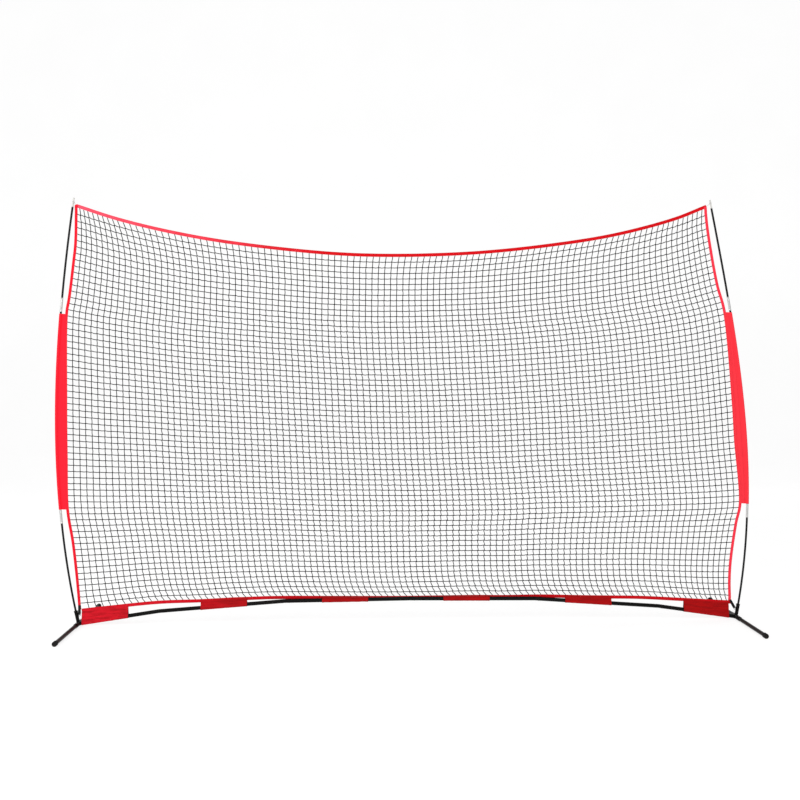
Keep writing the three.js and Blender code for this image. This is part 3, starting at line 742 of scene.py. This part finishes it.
def flowing(points):
    """The centripetal Catmull-Rom curve through the points: each stretch blends three lines
    between neighbours twice over, on knots spaced by the root of their distance."""
    points = np.asarray(points, dtype=float)
    whole = np.concatenate([[2 * points[0] - points[1]], points, [2 * points[-1] - points[-2]]])
    p = [whole[k:len(whole) - 3 + k][:, None] for k in range(4)]
    gaps = [np.linalg.norm(b - a, axis=-1, keepdims=True) ** 0.5 for a, b in zip(p, p[1:])]
    t0 = np.zeros_like(gaps[0])
    t1 = gaps[0]
    t2 = t1 + gaps[1]
    t3 = t2 + gaps[2]
    t = t1 + (t2 - t1) * np.linspace(0, 1, 40, endpoint=False)[None, :, None]
    a1 = ((t1 - t) * p[0] + (t - t0) * p[1]) / (t1 - t0)
    a2 = ((t2 - t) * p[1] + (t - t1) * p[2]) / (t2 - t1)
    a3 = ((t3 - t) * p[2] + (t - t2) * p[3]) / (t3 - t2)
    b1 = ((t2 - t) * a1 + (t - t0) * a2) / (t2 - t0)
    b2 = ((t3 - t) * a2 + (t - t1) * a3) / (t3 - t1)
    line = ((t2 - t) * b1 + (t - t1) * b2) / (t2 - t1)
    return np.concatenate([line.reshape(-1, 3), points[-1:]])


def smooth_step(x):
    x = np.clip(x, 0.0, 1.0)
    return x * x * (3 - 2 * x)


def in_plane(points):
    return np.array([(x, 0.0, z) for x, z in points])


bottom_points = in_plane([
    (-2.413, 0.115), (-2.206, 0.136), (-1.848, 0.168), (-1.548, 0.176), (-1.300, 0.187),
    (-1.203, 0.189), (-1.050, 0.191), (-0.886, 0.191), (-0.560, 0.187), (-0.040, 0.182),
    (0.480, 0.184), (0.706, 0.181), (0.925, 0.183), (1.050, 0.182), (1.154, 0.180),
    (1.300, 0.177), (1.499, 0.173), (1.716, 0.168), (2.040, 0.149), (2.402, 0.126),
])
bottom_points[:, 1] = 0.0168 * smooth_step((1.300 - np.abs(bottom_points[:, 0])) / 0.340)

HEMS = {
    "top": Course(flowing(in_plane([
        (-2.424, 3.077), (-2.129, 2.981), (-1.741, 2.886), (-1.308, 2.809), (-0.578, 2.729),
        (-0.085, 2.713), (0.527, 2.734), (1.120, 2.797), (1.546, 2.868), (1.974, 2.981),
        (2.208, 3.073),
    ]))),
    "bottom": Course(flowing(bottom_points)),
    "left": Course(flowing(in_plane([
        (-2.429, 0.133), (-2.434, 0.213), (-2.450, 0.405), (-2.473, 0.620), (-2.509, 0.858),
        (-2.514, 1.250), (-2.513, 1.660), (-2.501, 2.290), (-2.480, 2.412), (-2.446, 2.671),
        (-2.431, 2.800), (-2.423, 3.057),
    ]))),
    "right": Course(flowing(in_plane([
        (2.391, 0.145), (2.388, 0.280), (2.396, 0.432), (2.436, 0.714), (2.468, 0.866),
        (2.431, 1.338), (2.414, 1.607), (2.347, 2.291), (2.291, 2.494), (2.238, 2.773),
        (2.217, 2.910), (2.202, 3.046),
    ]))),
}


def net_edge(name, share, offset):
    """Points on a hem's netted edge, at shares of its length."""
    hem = HEMS[name]
    distance = np.asarray(share) * hem.length
    return hem.at(distance) + hem.axes(distance)[1] * offset


dice = np.random.default_rng(16)
u = np.linspace(0, 1, COLUMNS + 1)
v = np.linspace(0, 1, ROWS + 1)
# The lowest rows stand a little closer together.
level = v + 0.03 * (v * v - v) - 0.25 / ROWS * (1 - np.exp(-v * ROWS / 2)) * (1 - v)
up_from = HEM_HALF - TAPE_COVER
side_in = SIDE_HEM_HALF - TAPE_COVER
low, high = net_edge("bottom", u, up_from), net_edge("top", u, -up_from)
left, right = net_edge("left", level, -side_in), net_edge("right", level, side_in)
corner = {
    "low_left": (low[0] + left[0]) / 2, "low_right": (low[-1] + right[0]) / 2,
    "high_left": (high[0] + left[-1]) / 2, "high_right": (high[-1] + right[-1]) / 2,
}

# The Coons patch: the two ruled surfaces between facing hems, less the bilinear one.
a, b = u[None, :, None], level[:, None, None]
flat = (1 - a) * (1 - b) * corner["low_left"] + a * (1 - b) * corner["low_right"]
flat = flat + (1 - a) * b * corner["high_left"] + a * b * corner["high_right"]
knots = (1 - b) * low + b * high + (1 - a) * left[:, None] + a * right[:, None] - flat

# Where the hems don't meet in a point, the patch is drawn back onto each hem within a few
# cells of it.
hold = np.clip(np.minimum(v, 1 - v) * ROWS / 2, 0, 1)[:, None, None]
knots += (low - knots[0]) * np.exp(-v * ROWS / 3)[:, None, None]
knots += (high - knots[-1]) * np.exp((v - 1) * ROWS / 3)[:, None, None]
knots += hold * (left[:, None] - knots[:, :1]) * np.exp(-u * COLUMNS / 3)[:, None]
knots += hold * (right[:, None] - knots[:, -1:]) * np.exp((u - 1) * COLUMNS / 3)[:, None]

# Next to the top hem the columns fan out, and the bottom hem drags its rows to the right.
fan = np.interp(
    u, (0, 0.03, 0.09, 0.2, 0.3, 0.38, 0.52, 0.73, 0.83, 0.91, 0.97, 1),
    (0, -0.045, -0.088, -0.050, -0.022, 0, 0.040, 0.062, 0.072, 0.060, 0.022, 0),
)
top_shift = net_edge("top", u + fan / HEMS["top"].length, -up_from) - high
knots += top_shift * np.exp((v - 1) * ROWS / 5.0)[:, None, None]
drag = np.interp(u, (0, 0.06, 0.5, 0.94, 1), (0, 0.034, 0.040, 0.034, 0))
pull = np.interp(u, (0, 0.1, 0.9, 1), (0, 0.024, 0.040, 0))
for way, rows in ((drag, 1.9), (pull, 16.0)):
    foot_shift = net_edge("bottom", u + way / HEMS["bottom"].length, up_from) - low
    knots += foot_shift * np.exp(-v * ROWS / rows)[:, None, None]

# The hem's push to the back dies away in a few rows, and the whole net hangs unevenly.
inside = np.minimum(1, 6 * a * (1 - a)) * np.minimum(1, 6 * b * (1 - b))
inside = np.maximum(inside, 0.0)


def drift(count, size):
    """A few slow waves over the net with random directions and phases, of that size."""
    total = np.zeros((ROWS + 1, COLUMNS + 1))
    acrosses, upwards = dice.uniform((2,), (9,), (2, count))
    for across, upward, phase in zip(acrosses, upwards, dice.uniform(0, 6.28, count)):
        total += np.sin(across * a[..., 0] * np.pi + upward * b[..., 0] * np.pi + phase)
    return size * total / count ** 0.5


knots[..., 1] = knots[..., 1] * (1 - b[..., 0]) ** 8
knots += inside * np.stack([drift(4, 0.0015), drift(4, 0.006), drift(4, 0.0015)], axis=-1)
knots[..., 0] -= inside[..., 0] * 0.018 * b[..., 0] ** 2
knots += inside * dice.normal(0, 1, knots.shape) * (0.0009, 0.0012, 0.0008)

slack = (1 - b[..., 0]) ** 1.4
twist = -(0.16 + 0.70 * slack) * (0.7 + 0.5 * u) * inside[..., 0]
twist = twist + dice.normal(0, 0.06, twist.shape)
step = KNOT_REACH * np.stack([np.cos(twist), 0 * twist, 0.35 * np.sin(twist)], axis=-1)
rise = KNOT_REACH * np.stack([-np.sin(twist), 0 * twist, np.cos(twist)], axis=-1)


def twines(before, after, sag, noise):
    """Lines through every knot of a row: each enters at one point, leaves at another, and
    runs to the next knot by a middle point that hangs by the sag and strays a little."""
    stray = dice.normal(0, 1, after[:, 1:].shape) * noise
    middle = (after[:, :-1] + before[:, 1:]) / 2 + sag + stray
    middle = np.concatenate([middle, after[:, -1:]], axis=1)
    line = np.stack([before, after, middle], axis=2).reshape(len(before), -1, 3)[:, :-1]
    line[:, [0, -1]] = (before + after)[:, [0, -1]] / 2
    return line


def thread(lines, radius, sides):
    """Grids of circles round many lines at once, square to each line's own direction. Both
    ends of a line are pressed thin, where the tape is sewn over them."""
    way = np.gradient(lines, axis=1)
    way /= np.linalg.norm(way, axis=-1, keepdims=True)
    side = np.cross(way, BACK)
    side /= np.linalg.norm(side, axis=-1, keepdims=True)
    back = np.cross(side, way)
    turn = full_turn(sides)
    around = np.cos(turn)[:, None] * side[..., None, :] + np.sin(turn)[:, None] * back[..., None, :]
    pressed = np.ones(lines.shape[1])
    pressed[[0, -1]] = 0.5
    return lines[..., None, :] + radius * pressed[:, None, None] * around


twine = Finish("black_twine", roughness=0.85, specular_ior_level=0.12)
run, turn = twine.surface()
lay = (run + turn * 0.75).sine(0.0042) * 0.5 + 0.5
fuzz = twine.noise(twine.place(), 380.0, 3.0)
strand = lay * 0.6 + fuzz * 0.4
twine.set(base_color=twine.blend(strand, (0.002, 0.002, 0.0022), (0.010, 0.010, 0.011)))
twine.relief(lay, 0.0006)

row_noise, column_noise = (0.0003, 0.0006, 0.0007), (0.0009, 0.0006, 0.0003)
row_lines = twines((knots - step)[1:-1], (knots + step)[1:-1], (0, 0, -0.0012), row_noise)
column_before, column_after = ((knots + way * rise).swapaxes(0, 1)[1:-1] for way in (-1, 1))
column_lines = twines(column_before, column_after, 0.0, column_noise)
for name, lines in (("rows", row_lines), ("columns", column_lines)):
    part = skin(f"net_twine_{name}", thread(lines, TWINE_R, 4))
    dress(part, twine, "twine", "net_panel")

# A knot is a low lump of crossed turns, longer along its own turned diagonal.
centres = knots[1:-1, 1:-1].reshape(-1, 3)
count = len(centres)
lean = twist[1:-1, 1:-1].reshape(-1) + np.pi / 4 + dice.normal(0, 0.25, count)
size = KNOT_R * dice.uniform(0.88, 1.15, count)
tilt = np.radians([-58, -20, 20, 58])[None, :, None]
turn6 = full_turn(6)[None, None, :]
along = np.stack([np.cos(lean), 0 * lean, np.sin(lean)], axis=-1)[:, None, None]
over = np.stack([-np.sin(lean), 0 * lean, np.cos(lean)], axis=-1)[:, None, None]
lump = 1.2 * np.sin(tilt)[..., None] * along
lump = lump + 0.95 * (np.cos(tilt) * np.cos(turn6))[..., None] * over
lump = lump + 0.85 * (np.cos(tilt) * np.sin(turn6))[..., None] * BACK
lump = centres[:, None, None] + size[:, None, None, None] * lump
half = count // 2
for name, part in (("lower", lump[:half]), ("upper", lump[half:])):
    dress(skin(f"net_knots_{name}", part), twine, "twine", "net_panel")

# ---- hem tapes --------------------------------------------------------------------------
# A red woven tape is folded over each edge of the net and sewn through with two rows of
# stitches. It is 48 mm wide before folding, 40 mm at the sides, and it wavers where it
# hangs free between its fixings.

TAPE_OUTER = 0.0024
TAPE_INNER = 0.0017


def ripples(along, pitches, across=0.0, turns=0.0):
    """The mean of sine waves, one to a pitch, each with its own turns and a random phase."""
    phases = dice.uniform(0, 6.28, len(pitches))
    turns = np.broadcast_to(turns, len(pitches))
    waves = [np.sin(along * p + across * t + f) for p, t, f in zip(pitches, turns, phases)]
    return sum(waves) / len(pitches)


def sewn_cloth(finish, pale, deep, thread_colour, seams, weave, full_at=2.4, crumple=0.0):
    """Woven cloth: warp and weft waves for the weave, a cloudy change of colour, painted light
    that passes from the pale colour at the net's left end to the deep one at full_at, and
    stitches at the seams' distances. Crumple is the height, in relief depths, of long creases
    that run along the bar, and how dark the painted shade in them is."""
    run, turn = finish.surface()
    spot = finish.place()
    warp, weft = run.sine(weave) * 0.5 + 0.5, turn.sine(weave) * 0.5 + 0.5
    cloth = warp * weft + (1 - warp) * (1 - weft)
    cloud = finish.noise(spot, 11.0, 4.0)
    # Painted light: the colour passes from pale at the net's left end to deep at full_at, standing
    # in for light falling across the net.
    painted_light_across = ((finish.axes(spot)[0] + 2.4) / (full_at + 2.4) + (cloud - 0.5) * 0.4).kept()
    colour = finish.blend(painted_light_across, pale, deep)
    weave_tone_and_crease_shade = (cloth * 0.16 + (cloud - 0.35) * 0.35).kept()
    colour = finish.blend(weave_tone_and_crease_shade, colour, tuple(c * 0.45 for c in deep))
    x, y, z = finish.axes(spot)
    # Painted shade: the creases are darkened towards the deep colour, as much as crumple asks.
    crease = finish.noise(finish.vector(x * 9, y * 60, z * 60), 1.0, 4.0)
    weave_tone_and_crease_shade = ((crease - 0.45) * crumple * 0.6).kept()
    colour = finish.blend(weave_tone_and_crease_shade, colour, tuple(c * 0.55 for c in deep))
    stitch = 0.0
    for seam in seams:
        dash = (run.sine(0.0058) * 0.5 + 0.75).above(0.45, 0.2)
        stitch = stitch + turn.near(seam, 0.0009) * dash
    pucker = sum((turn.near(seam, 0.005) * run.sine(0.0058) for seam in seams), start=cloth * 0.15)
    colour = finish.blend(stitch.kept(), colour, thread_colour)
    finish.relief(pucker * 0.3 + cloth * 0.25 + stitch * 0.5 + crease * crumple, 0.0006)
    finish.set(base_color=colour, roughness=(0.62 + cloth * 0.16 + cloud * 0.06).kept())


def folded_tape(half, fold):
    """The section of a tape folded over the net: out along one face, round the fold, back
    along the other, and the same inside it. Fold is 1 or -1, the side the fold is on."""
    turn = np.linspace(0, np.pi, 9)
    face = np.linspace(-half, half - TAPE_OUTER, 5)
    swell = 0.0003 * np.sin(np.linspace(0, np.pi, 5))
    round_y, round_z = np.cos(turn)[1:-1], np.sin(turn)[1:-1]
    outer = np.concatenate([
        np.stack([TAPE_OUTER + swell, face], axis=1),
        np.stack([TAPE_OUTER * round_y, half - TAPE_OUTER + TAPE_OUTER * round_z], axis=1),
        np.stack([-TAPE_OUTER - swell, face[::-1]], axis=1),
    ])
    inner = np.concatenate([
        np.stack([-np.full(5, TAPE_INNER), face], axis=1),
        np.stack([-TAPE_INNER * round_y, half - TAPE_OUTER + TAPE_INNER * round_z], axis=1),
        np.stack([np.full(5, TAPE_INNER), face[::-1]], axis=1),
    ])
    return np.concatenate([outer, inner]) * (1, fold)


SEAM_IN = 0.0035
LAP_TOP = 0.024  # how far a side tape laps over the front of the top one, where they are sewn
LAP_LOW = 0.014  # and behind the bottom one
LAP_OFFSET = 0.0051


def tape_finish(name, half, pale, deep, thread_colour, full_at=2.4):
    """A tape's cloth, sewn near both edges of each face."""
    finish = Finish(name, sheen_weight=0.06, sheen_roughness=0.4, specular_ior_level=0.12)
    face = 2 * half - TAPE_OUTER
    past_fold = face + np.pi * TAPE_OUTER
    seams = (SEAM_IN, face - 0.002, past_fold + 0.002, past_fold + face - SEAM_IN)
    sewn_cloth(finish, pale, deep, thread_colour, seams, 0.0011, full_at)
    return finish


# Painted light: each tape's colour passes from its first colour at the net's left end to its second
# at full_at, as the light falls across the net.
tape = tape_finish(
    "woven_tape", HEM_HALF, (1.0, 0.085, 0.14), (0.66, 0.0005, 0.005), (0.40, 0.0005, 0.004), -0.6,
)
# Painted shade: the bottom hem carries the same tape as the top, painted darker here as shade along
# the foot of the net.
low_tape_painted_shade = tape_finish(
    "woven_low_tape", HEM_HALF, (0.66, 0.004, 0.018), (0.56, 0.0005, 0.005),
    (0.36, 0.0005, 0.004), -0.6,
)
side_tape = tape_finish(
    "woven_side_tape", SIDE_HEM_HALF, (0.80, 0.004, 0.020), (0.98, 0.035, 0.070),
    (0.40, 0.002, 0.008),
)

for name, half, fold, finish, waver in (
    ("top", HEM_HALF, 1, tape, 0.0022),
    ("bottom", HEM_HALF, -1, low_tape_painted_shade, 0.0),
    ("left", SIDE_HEM_HALF, 1, side_tape, 0.0004),
    ("right", SIDE_HEM_HALF, -1, side_tape, 0.0004),
):
    hem = HEMS[name]
    if half == SIDE_HEM_HALF:
        below = toward(hem.points[0], hem.points[1], -LAP_LOW)
        above = toward(hem.points[-1], hem.points[-2], -LAP_TOP)
        hem = Course(np.concatenate([[below], hem.points, [above]]))
    distance = np.linspace(0.0, hem.length, int(hem.length / 0.011))
    grid = hem.carry(distance, folded_tape(half, fold))
    if half == SIDE_HEM_HALF:
        grid[..., 1] -= LAP_OFFSET * smooth_step((distance - hem.length + 0.045) / 0.020)[:, None]
        grid[..., 1] += LAP_OFFSET * smooth_step((0.033 - distance) / 0.020)[:, None]
    waves = ripples(distance, dice.uniform(5, 34, 5))
    twirl = ripples(distance, dice.uniform(5, 40, 4))
    ease = np.sin(np.pi * distance / hem.length) ** 0.5
    reach = ((grid - hem.at(distance)[:, None]) * hem.axes(distance)[1][:, None]).sum(axis=-1)
    grid[..., 1] += waver * ((waves * ease)[:, None] + reach * (45 * twirl * ease)[:, None])
    piece = skin(f"{name}_hem_tape", grid)
    dress(piece, finish, "hem_tape", f"{name}_hem")

# ---- side sleeves -----------------------------------------------------------------------
# A long doubled strip of bright red polyester wraps the middle of each pole and is sewn
# over the side hem. A row of stitches beside the pole closes its channel.

SLEEVE_R = 0.0112
SLEEVE_CLOTH = 0.0008
SLEEVE_FROM = 0.846
SLEEVE_TO = 2.280
SLEEVE_HEM_FROM = 0.728
SLEEVE_HEM_TO = 2.160

sleeve_cloth = Finish(
    "bright_sleeve_cloth", sheen_weight=0.08, sheen_roughness=0.35, specular_ior_level=0.15,
)
share = np.linspace(0, 1, 150)
for side, pole in POLES.items():
    hand = -1 if side == "left" else 1
    hem = HEMS[side]
    post = pole.at(SLEEVE_FROM + (SLEEVE_TO - SLEEVE_FROM) * share)
    hem_distance = SLEEVE_HEM_FROM + (SLEEVE_HEM_TO - SLEEVE_HEM_FROM) * share
    edge = hem.at(hem_distance) + hem.axes(hem_distance)[1] * (hand * (SIDE_HEM_HALF - 0.001))
    reach = edge - post
    width = np.linalg.norm(reach, axis=-1)[:, None]
    inward = reach / width

    # Half the section's thickness over its width: a circle round the pole, a pinch at the
    # channel's stitches, slack cloth beyond them, and room for the hem tape at the edge.
    across = np.concatenate([-np.cos(np.linspace(0, np.pi * 0.62, 12)) * SLEEVE_R, np.zeros(16)])
    flap = np.linspace(0, 1, 17)[1:]
    start = across[11]
    x = np.where(np.arange(28) < 12, across, start + (width - start) * np.r_[np.zeros(12), flap])
    round_part = np.sqrt(np.maximum(SLEEVE_R ** 2 - np.minimum(x, SLEEVE_R) ** 2, 0.0))
    pinch_at = 0.0165
    ease = smooth_step((x - start) / (pinch_at - start))
    wave = ripples(share[:, None], dice.uniform(12, 90, 6), x, dice.uniform(-60, 60, 6))
    slack_part = 0.0016 + 0.0021 * smooth_step((x - width + 0.026) / 0.006)
    loose = np.clip((x - pinch_at) / (width - 0.026 - pinch_at), 0, 1)
    slack_part = slack_part + 0.0011 * (1 + wave) * np.sin(np.pi * loose)
    thick = np.maximum(round_part * (1 - ease) + slack_part * ease, 0.0004)
    thick = thick + 0.0005 * (np.abs(share[:, None] - 0.5) > 0.492)
    sway = 0.0022 * wave * np.sin(np.pi * np.clip((x - SLEEVE_R) / (width - SLEEVE_R), 0, 1))

    def layer(inset, sign):
        reach_x = x + inset * (x < 0)
        depth = sign * np.maximum(thick - inset, 0.00005) + sway
        return post[:, None] + inward[:, None] * reach_x[..., None] + depth[..., None] * BACK

    outer = np.concatenate([layer(0.0, -1)[:, ::-1], layer(0.0, 1)[:, 1:]], axis=1)
    inside_back, inside_front = layer(SLEEVE_CLOTH, 1), layer(SLEEVE_CLOTH, -1)
    inner = np.concatenate([inside_back[:, ::-1], inside_front[:, 1:]], axis=1)
    sleeve = skin(f"side_sleeve_{side}_cloth", np.concatenate([outer, inner], axis=1))
    dress(sleeve, sleeve_cloth, "side_sleeve_fabric", f"side_sleeve_{side}")
mean_run = float(width.mean())
sleeve_seams = (0.0055, 0.018, mean_run - 0.018, mean_run + 0.053, 2 * mean_run + 0.018)
# Painted light: the sleeve colour passes from the first colour on the left sleeve to the second,
# pinker, on the right, as the light falls across the net.
sewn_cloth(
    sleeve_cloth, (0.98, 0.009, 0.028), (0.95, 0.034, 0.052), (0.60, 0.006, 0.016),
    sleeve_seams, 0.0014,
)

# ---- base sleeves -----------------------------------------------------------------------
# Six short loops of deep red polyester hold the bottom hem to the bar. Each one is wrapped
# round the bar and the hem together, and the pull between them draws it flat and straight.

BASE_SLEEVES = (
    (-2.412, -2.074), (-1.543, -1.203), (-0.651, -0.311),
    (0.247, 0.590), (1.154, 1.499), (2.043, 2.381),
)
WRAP_R = 0.0158
WRAP_CLOTH = 0.0008

base_cloth = Finish(
    "deep_sleeve_cloth", sheen_weight=0.05, sheen_roughness=0.4, specular_ior_level=0.12,
)
# Painted light: the first sleeve at the left end is painted paler, passing to the deep colour by
# full_at, as light from the left; crumple darkens the creases as painted shade.
sewn_cloth(
    base_cloth, (0.66, 0.006, 0.018), (0.40, 0.0002, 0.001), (0.20, 0.0002, 0.001),
    (0.020, 0.042), 0.0014, full_at=-0.9, crumple=5.0,
)
compass = np.pi - full_turn(60)
facing = full_turn(240)
bottom = HEMS["bottom"]
for i, (start, end) in enumerate(BASE_SLEEVES):
    x = np.linspace(start, end, 70)
    bar = np.stack([x, 0 * x, np.interp(x, BAR_JOINTS[:, 0], BAR_JOINTS[:, 2])], axis=1)
    hem_at = [np.interp(x, bottom.points[:, 0], bottom.points[:, k]) for k in (1, 2)]
    gap = np.stack(hem_at, axis=1) - bar[:, 1:]
    # The taut wrap's support in each direction is the greater of the bar's and that of the
    # hem's four corners, and its edge is the least support seen from the bar's middle.
    normal = np.stack([np.cos(facing), np.sin(facing)], axis=1)
    corners = np.array([(y, z) for y in (-0.0027, 0.0027) for z in (-0.0125, 0.0105)])
    support = np.max((gap[:, None] + corners) @ normal.T, axis=1)
    support = np.maximum(support + 0.0004, WRAP_R)
    facing_gap = np.cos(facing[None, :] - compass[:, None])
    ratio = np.where(facing_gap > 0.02, 1 / np.maximum(facing_gap, 0.02), 1e3)
    edge_r = np.min(support[:, None] * ratio, axis=2)
    t = (x - start) / (end - start)
    wrinkle = ripples(x[:, None], dice.uniform(20, 170, 6), compass, dice.integers(1, 4, 6))
    edge_r = edge_r + 0.0007 * (1 + wrinkle) + 0.0006 * (np.abs(t - 0.5) > 0.47)[:, None]
    way = np.stack([0 * compass, np.cos(compass), np.sin(compass)], axis=1)
    outer = bar[:, None] + edge_r[..., None] * way
    inner = bar[:, None] + (edge_r - WRAP_CLOTH)[..., None] * way
    loop = skin(f"base_sleeve_{i + 1}_cloth", np.concatenate([outer, inner[::-1]]), rings=True)
    dress(loop, base_cloth, "base_sleeve_fabric", f"base_sleeve_{i + 1}")
    sides = np.diff(np.concatenate([outer, outer[:, :1]], axis=1), axis=1)
    girth = np.linalg.norm(sides, axis=-1).sum(axis=1)
    end - start
    float(girth.mean() * (end - start))

# ---- corner straps ----------------------------------------------------------------------
# Black webbing is sewn to each bottom corner of the net. It narrows to pass through the
# eye on the pole socket, folds back on itself and is sewn down with a small boxed cross.

STRAP_HALF = 0.0095
STRAP_THICKNESS = 0.0014
STRAP_OVERLAP = 0.020
STRAP_FRONT = 0.0046

webbing = Finish("black_webbing", specular_ior_level=0.15, sheen_weight=0.05)
run, turn = webbing.surface()
rib = run.sine(0.0019) * 0.5 + 0.5
herring = (turn.sine(0.0026) * 0.5 + 0.5) * rib
webbing.set(
    base_color=webbing.blend(herring, (0.004, 0.004, 0.004), (0.016, 0.016, 0.017)),
    roughness=(0.65 + rib * 0.2).kept(),
)
webbing.relief(herring, 0.0004)

for side in POLES:
    eye = eye_at(side)
    corner_at = HEMS["left"].at(0.0) if side == "left" else bottom.at(bottom.length)
    toward_eye = (eye - corner_at) / np.linalg.norm(eye - corner_at)
    wire_at = eye - toward_eye * EYE_RING_R
    front = STRAP_FRONT * BACK
    bend = np.linspace(0, np.pi, 13)
    loop_r = EYE_WIRE_R + 0.0016
    # Down the front of the tape, round the eye's wire, and back up behind to the overlap.
    turned_end = wire_at + loop_r * (
        np.sin(bend)[:, None] * toward_eye - np.cos(bend)[:, None] * BACK
    )
    front_start = corner_at - toward_eye * STRAP_OVERLAP - front
    front_knee = corner_at + toward_eye * 0.004 - front
    back_end = corner_at + toward_eye * 0.016 + BACK * 0.0012
    back_knee = corner_at + toward_eye * 0.024 + BACK * 0.0014
    route = np.concatenate([
        front_start + (front_knee - front_start) * np.linspace(0, 1, 8)[:, None],
        turned_end,
        [back_knee, back_end],
    ])
    across = np.cross(BACK, toward_eye)
    strap_line = Course(route, side=across)
    distance = np.linspace(0, strap_line.length, 70)
    ring_at = strap_line.marks[14]
    narrow = 1 - 0.25 * np.exp(-((distance - ring_at) / 0.006) ** 2)
    half_w, half_t = STRAP_HALF * narrow, STRAP_THICKNESS / 2 * (1 + 0.5 * (1 - narrow))
    face = np.linspace(-1, 1, 9)
    outline = np.concatenate([
        np.stack([face, 1 - 0.15 * face ** 4], axis=1)[::-1],
        np.stack([face, -(1 - 0.15 * face ** 4)], axis=1),
    ])
    section = outline * np.stack([half_w, half_t], axis=1)[:, None]
    strap = skin(f"corner_strap_{side}_webbing", strap_line.carry(distance, section))
    dress(strap, webbing, "webbing", f"corner_strap_{side}")

# ---- corner loops -----------------------------------------------------------------------
# A pale elastic cord comes out of each top corner of the net, takes a turn round the tip
# of the pole in its groove, and so pulls the corner up to the tip.

LOOP_CORD_R = 0.0017
LOOP_AT = 0.038

for side, inward in (("left", 1.0), ("right", -1.0)):
    pole = POLES[side]
    at = TUBE_TOP + LOOP_AT
    seat = pole.at(at)
    corner_at = HEMS["top"].at(0.0 if side == "left" else HEMS["top"].length)
    round_r = GROOVE_R + LOOP_CORD_R
    lean = pole.at(at + 0.01) - pole.at(at - 0.01)
    lean /= np.linalg.norm(lean)
    sideways = inward * np.cross(BACK, lean)
    turn = np.linspace(-0.35, 2 * np.pi - 0.55, 60)[:, None]
    drop = (turn + 0.35) / (2 * np.pi) * 0.0044 - 0.0022
    ring = seat + round_r * (np.cos(turn) * sideways - np.sin(turn) * BACK) + drop * lean
    lead = np.linspace(0, 1, 14)[:-1, None]
    start = corner_at - 0.003 * (ring[0] - corner_at) / np.linalg.norm(ring[0] - corner_at)
    into = (ring[1] - ring[0]) / np.linalg.norm(ring[1] - ring[0])
    handle = ring[0] - into * 0.008
    lead_line = (1 - lead) ** 2 * start + 2 * lead * (1 - lead) * handle + lead ** 2 * ring[0]
    loop_line = np.concatenate([lead_line, ring])
    course = Course(loop_line, side=tuple(lean))
    distance = np.linspace(0, course.length, 110)
    from_end = np.minimum(distance, course.length - distance)
    radius = LOOP_CORD_R * np.minimum(1, 0.35 + 600 * from_end)
    grid = course.turned(np.stack([distance, radius], axis=1), 12)
    loop = skin(f"corner_loop_{side}_elastic", grid)
    dress(loop, braid, "elastic", f"corner_loop_{side}")
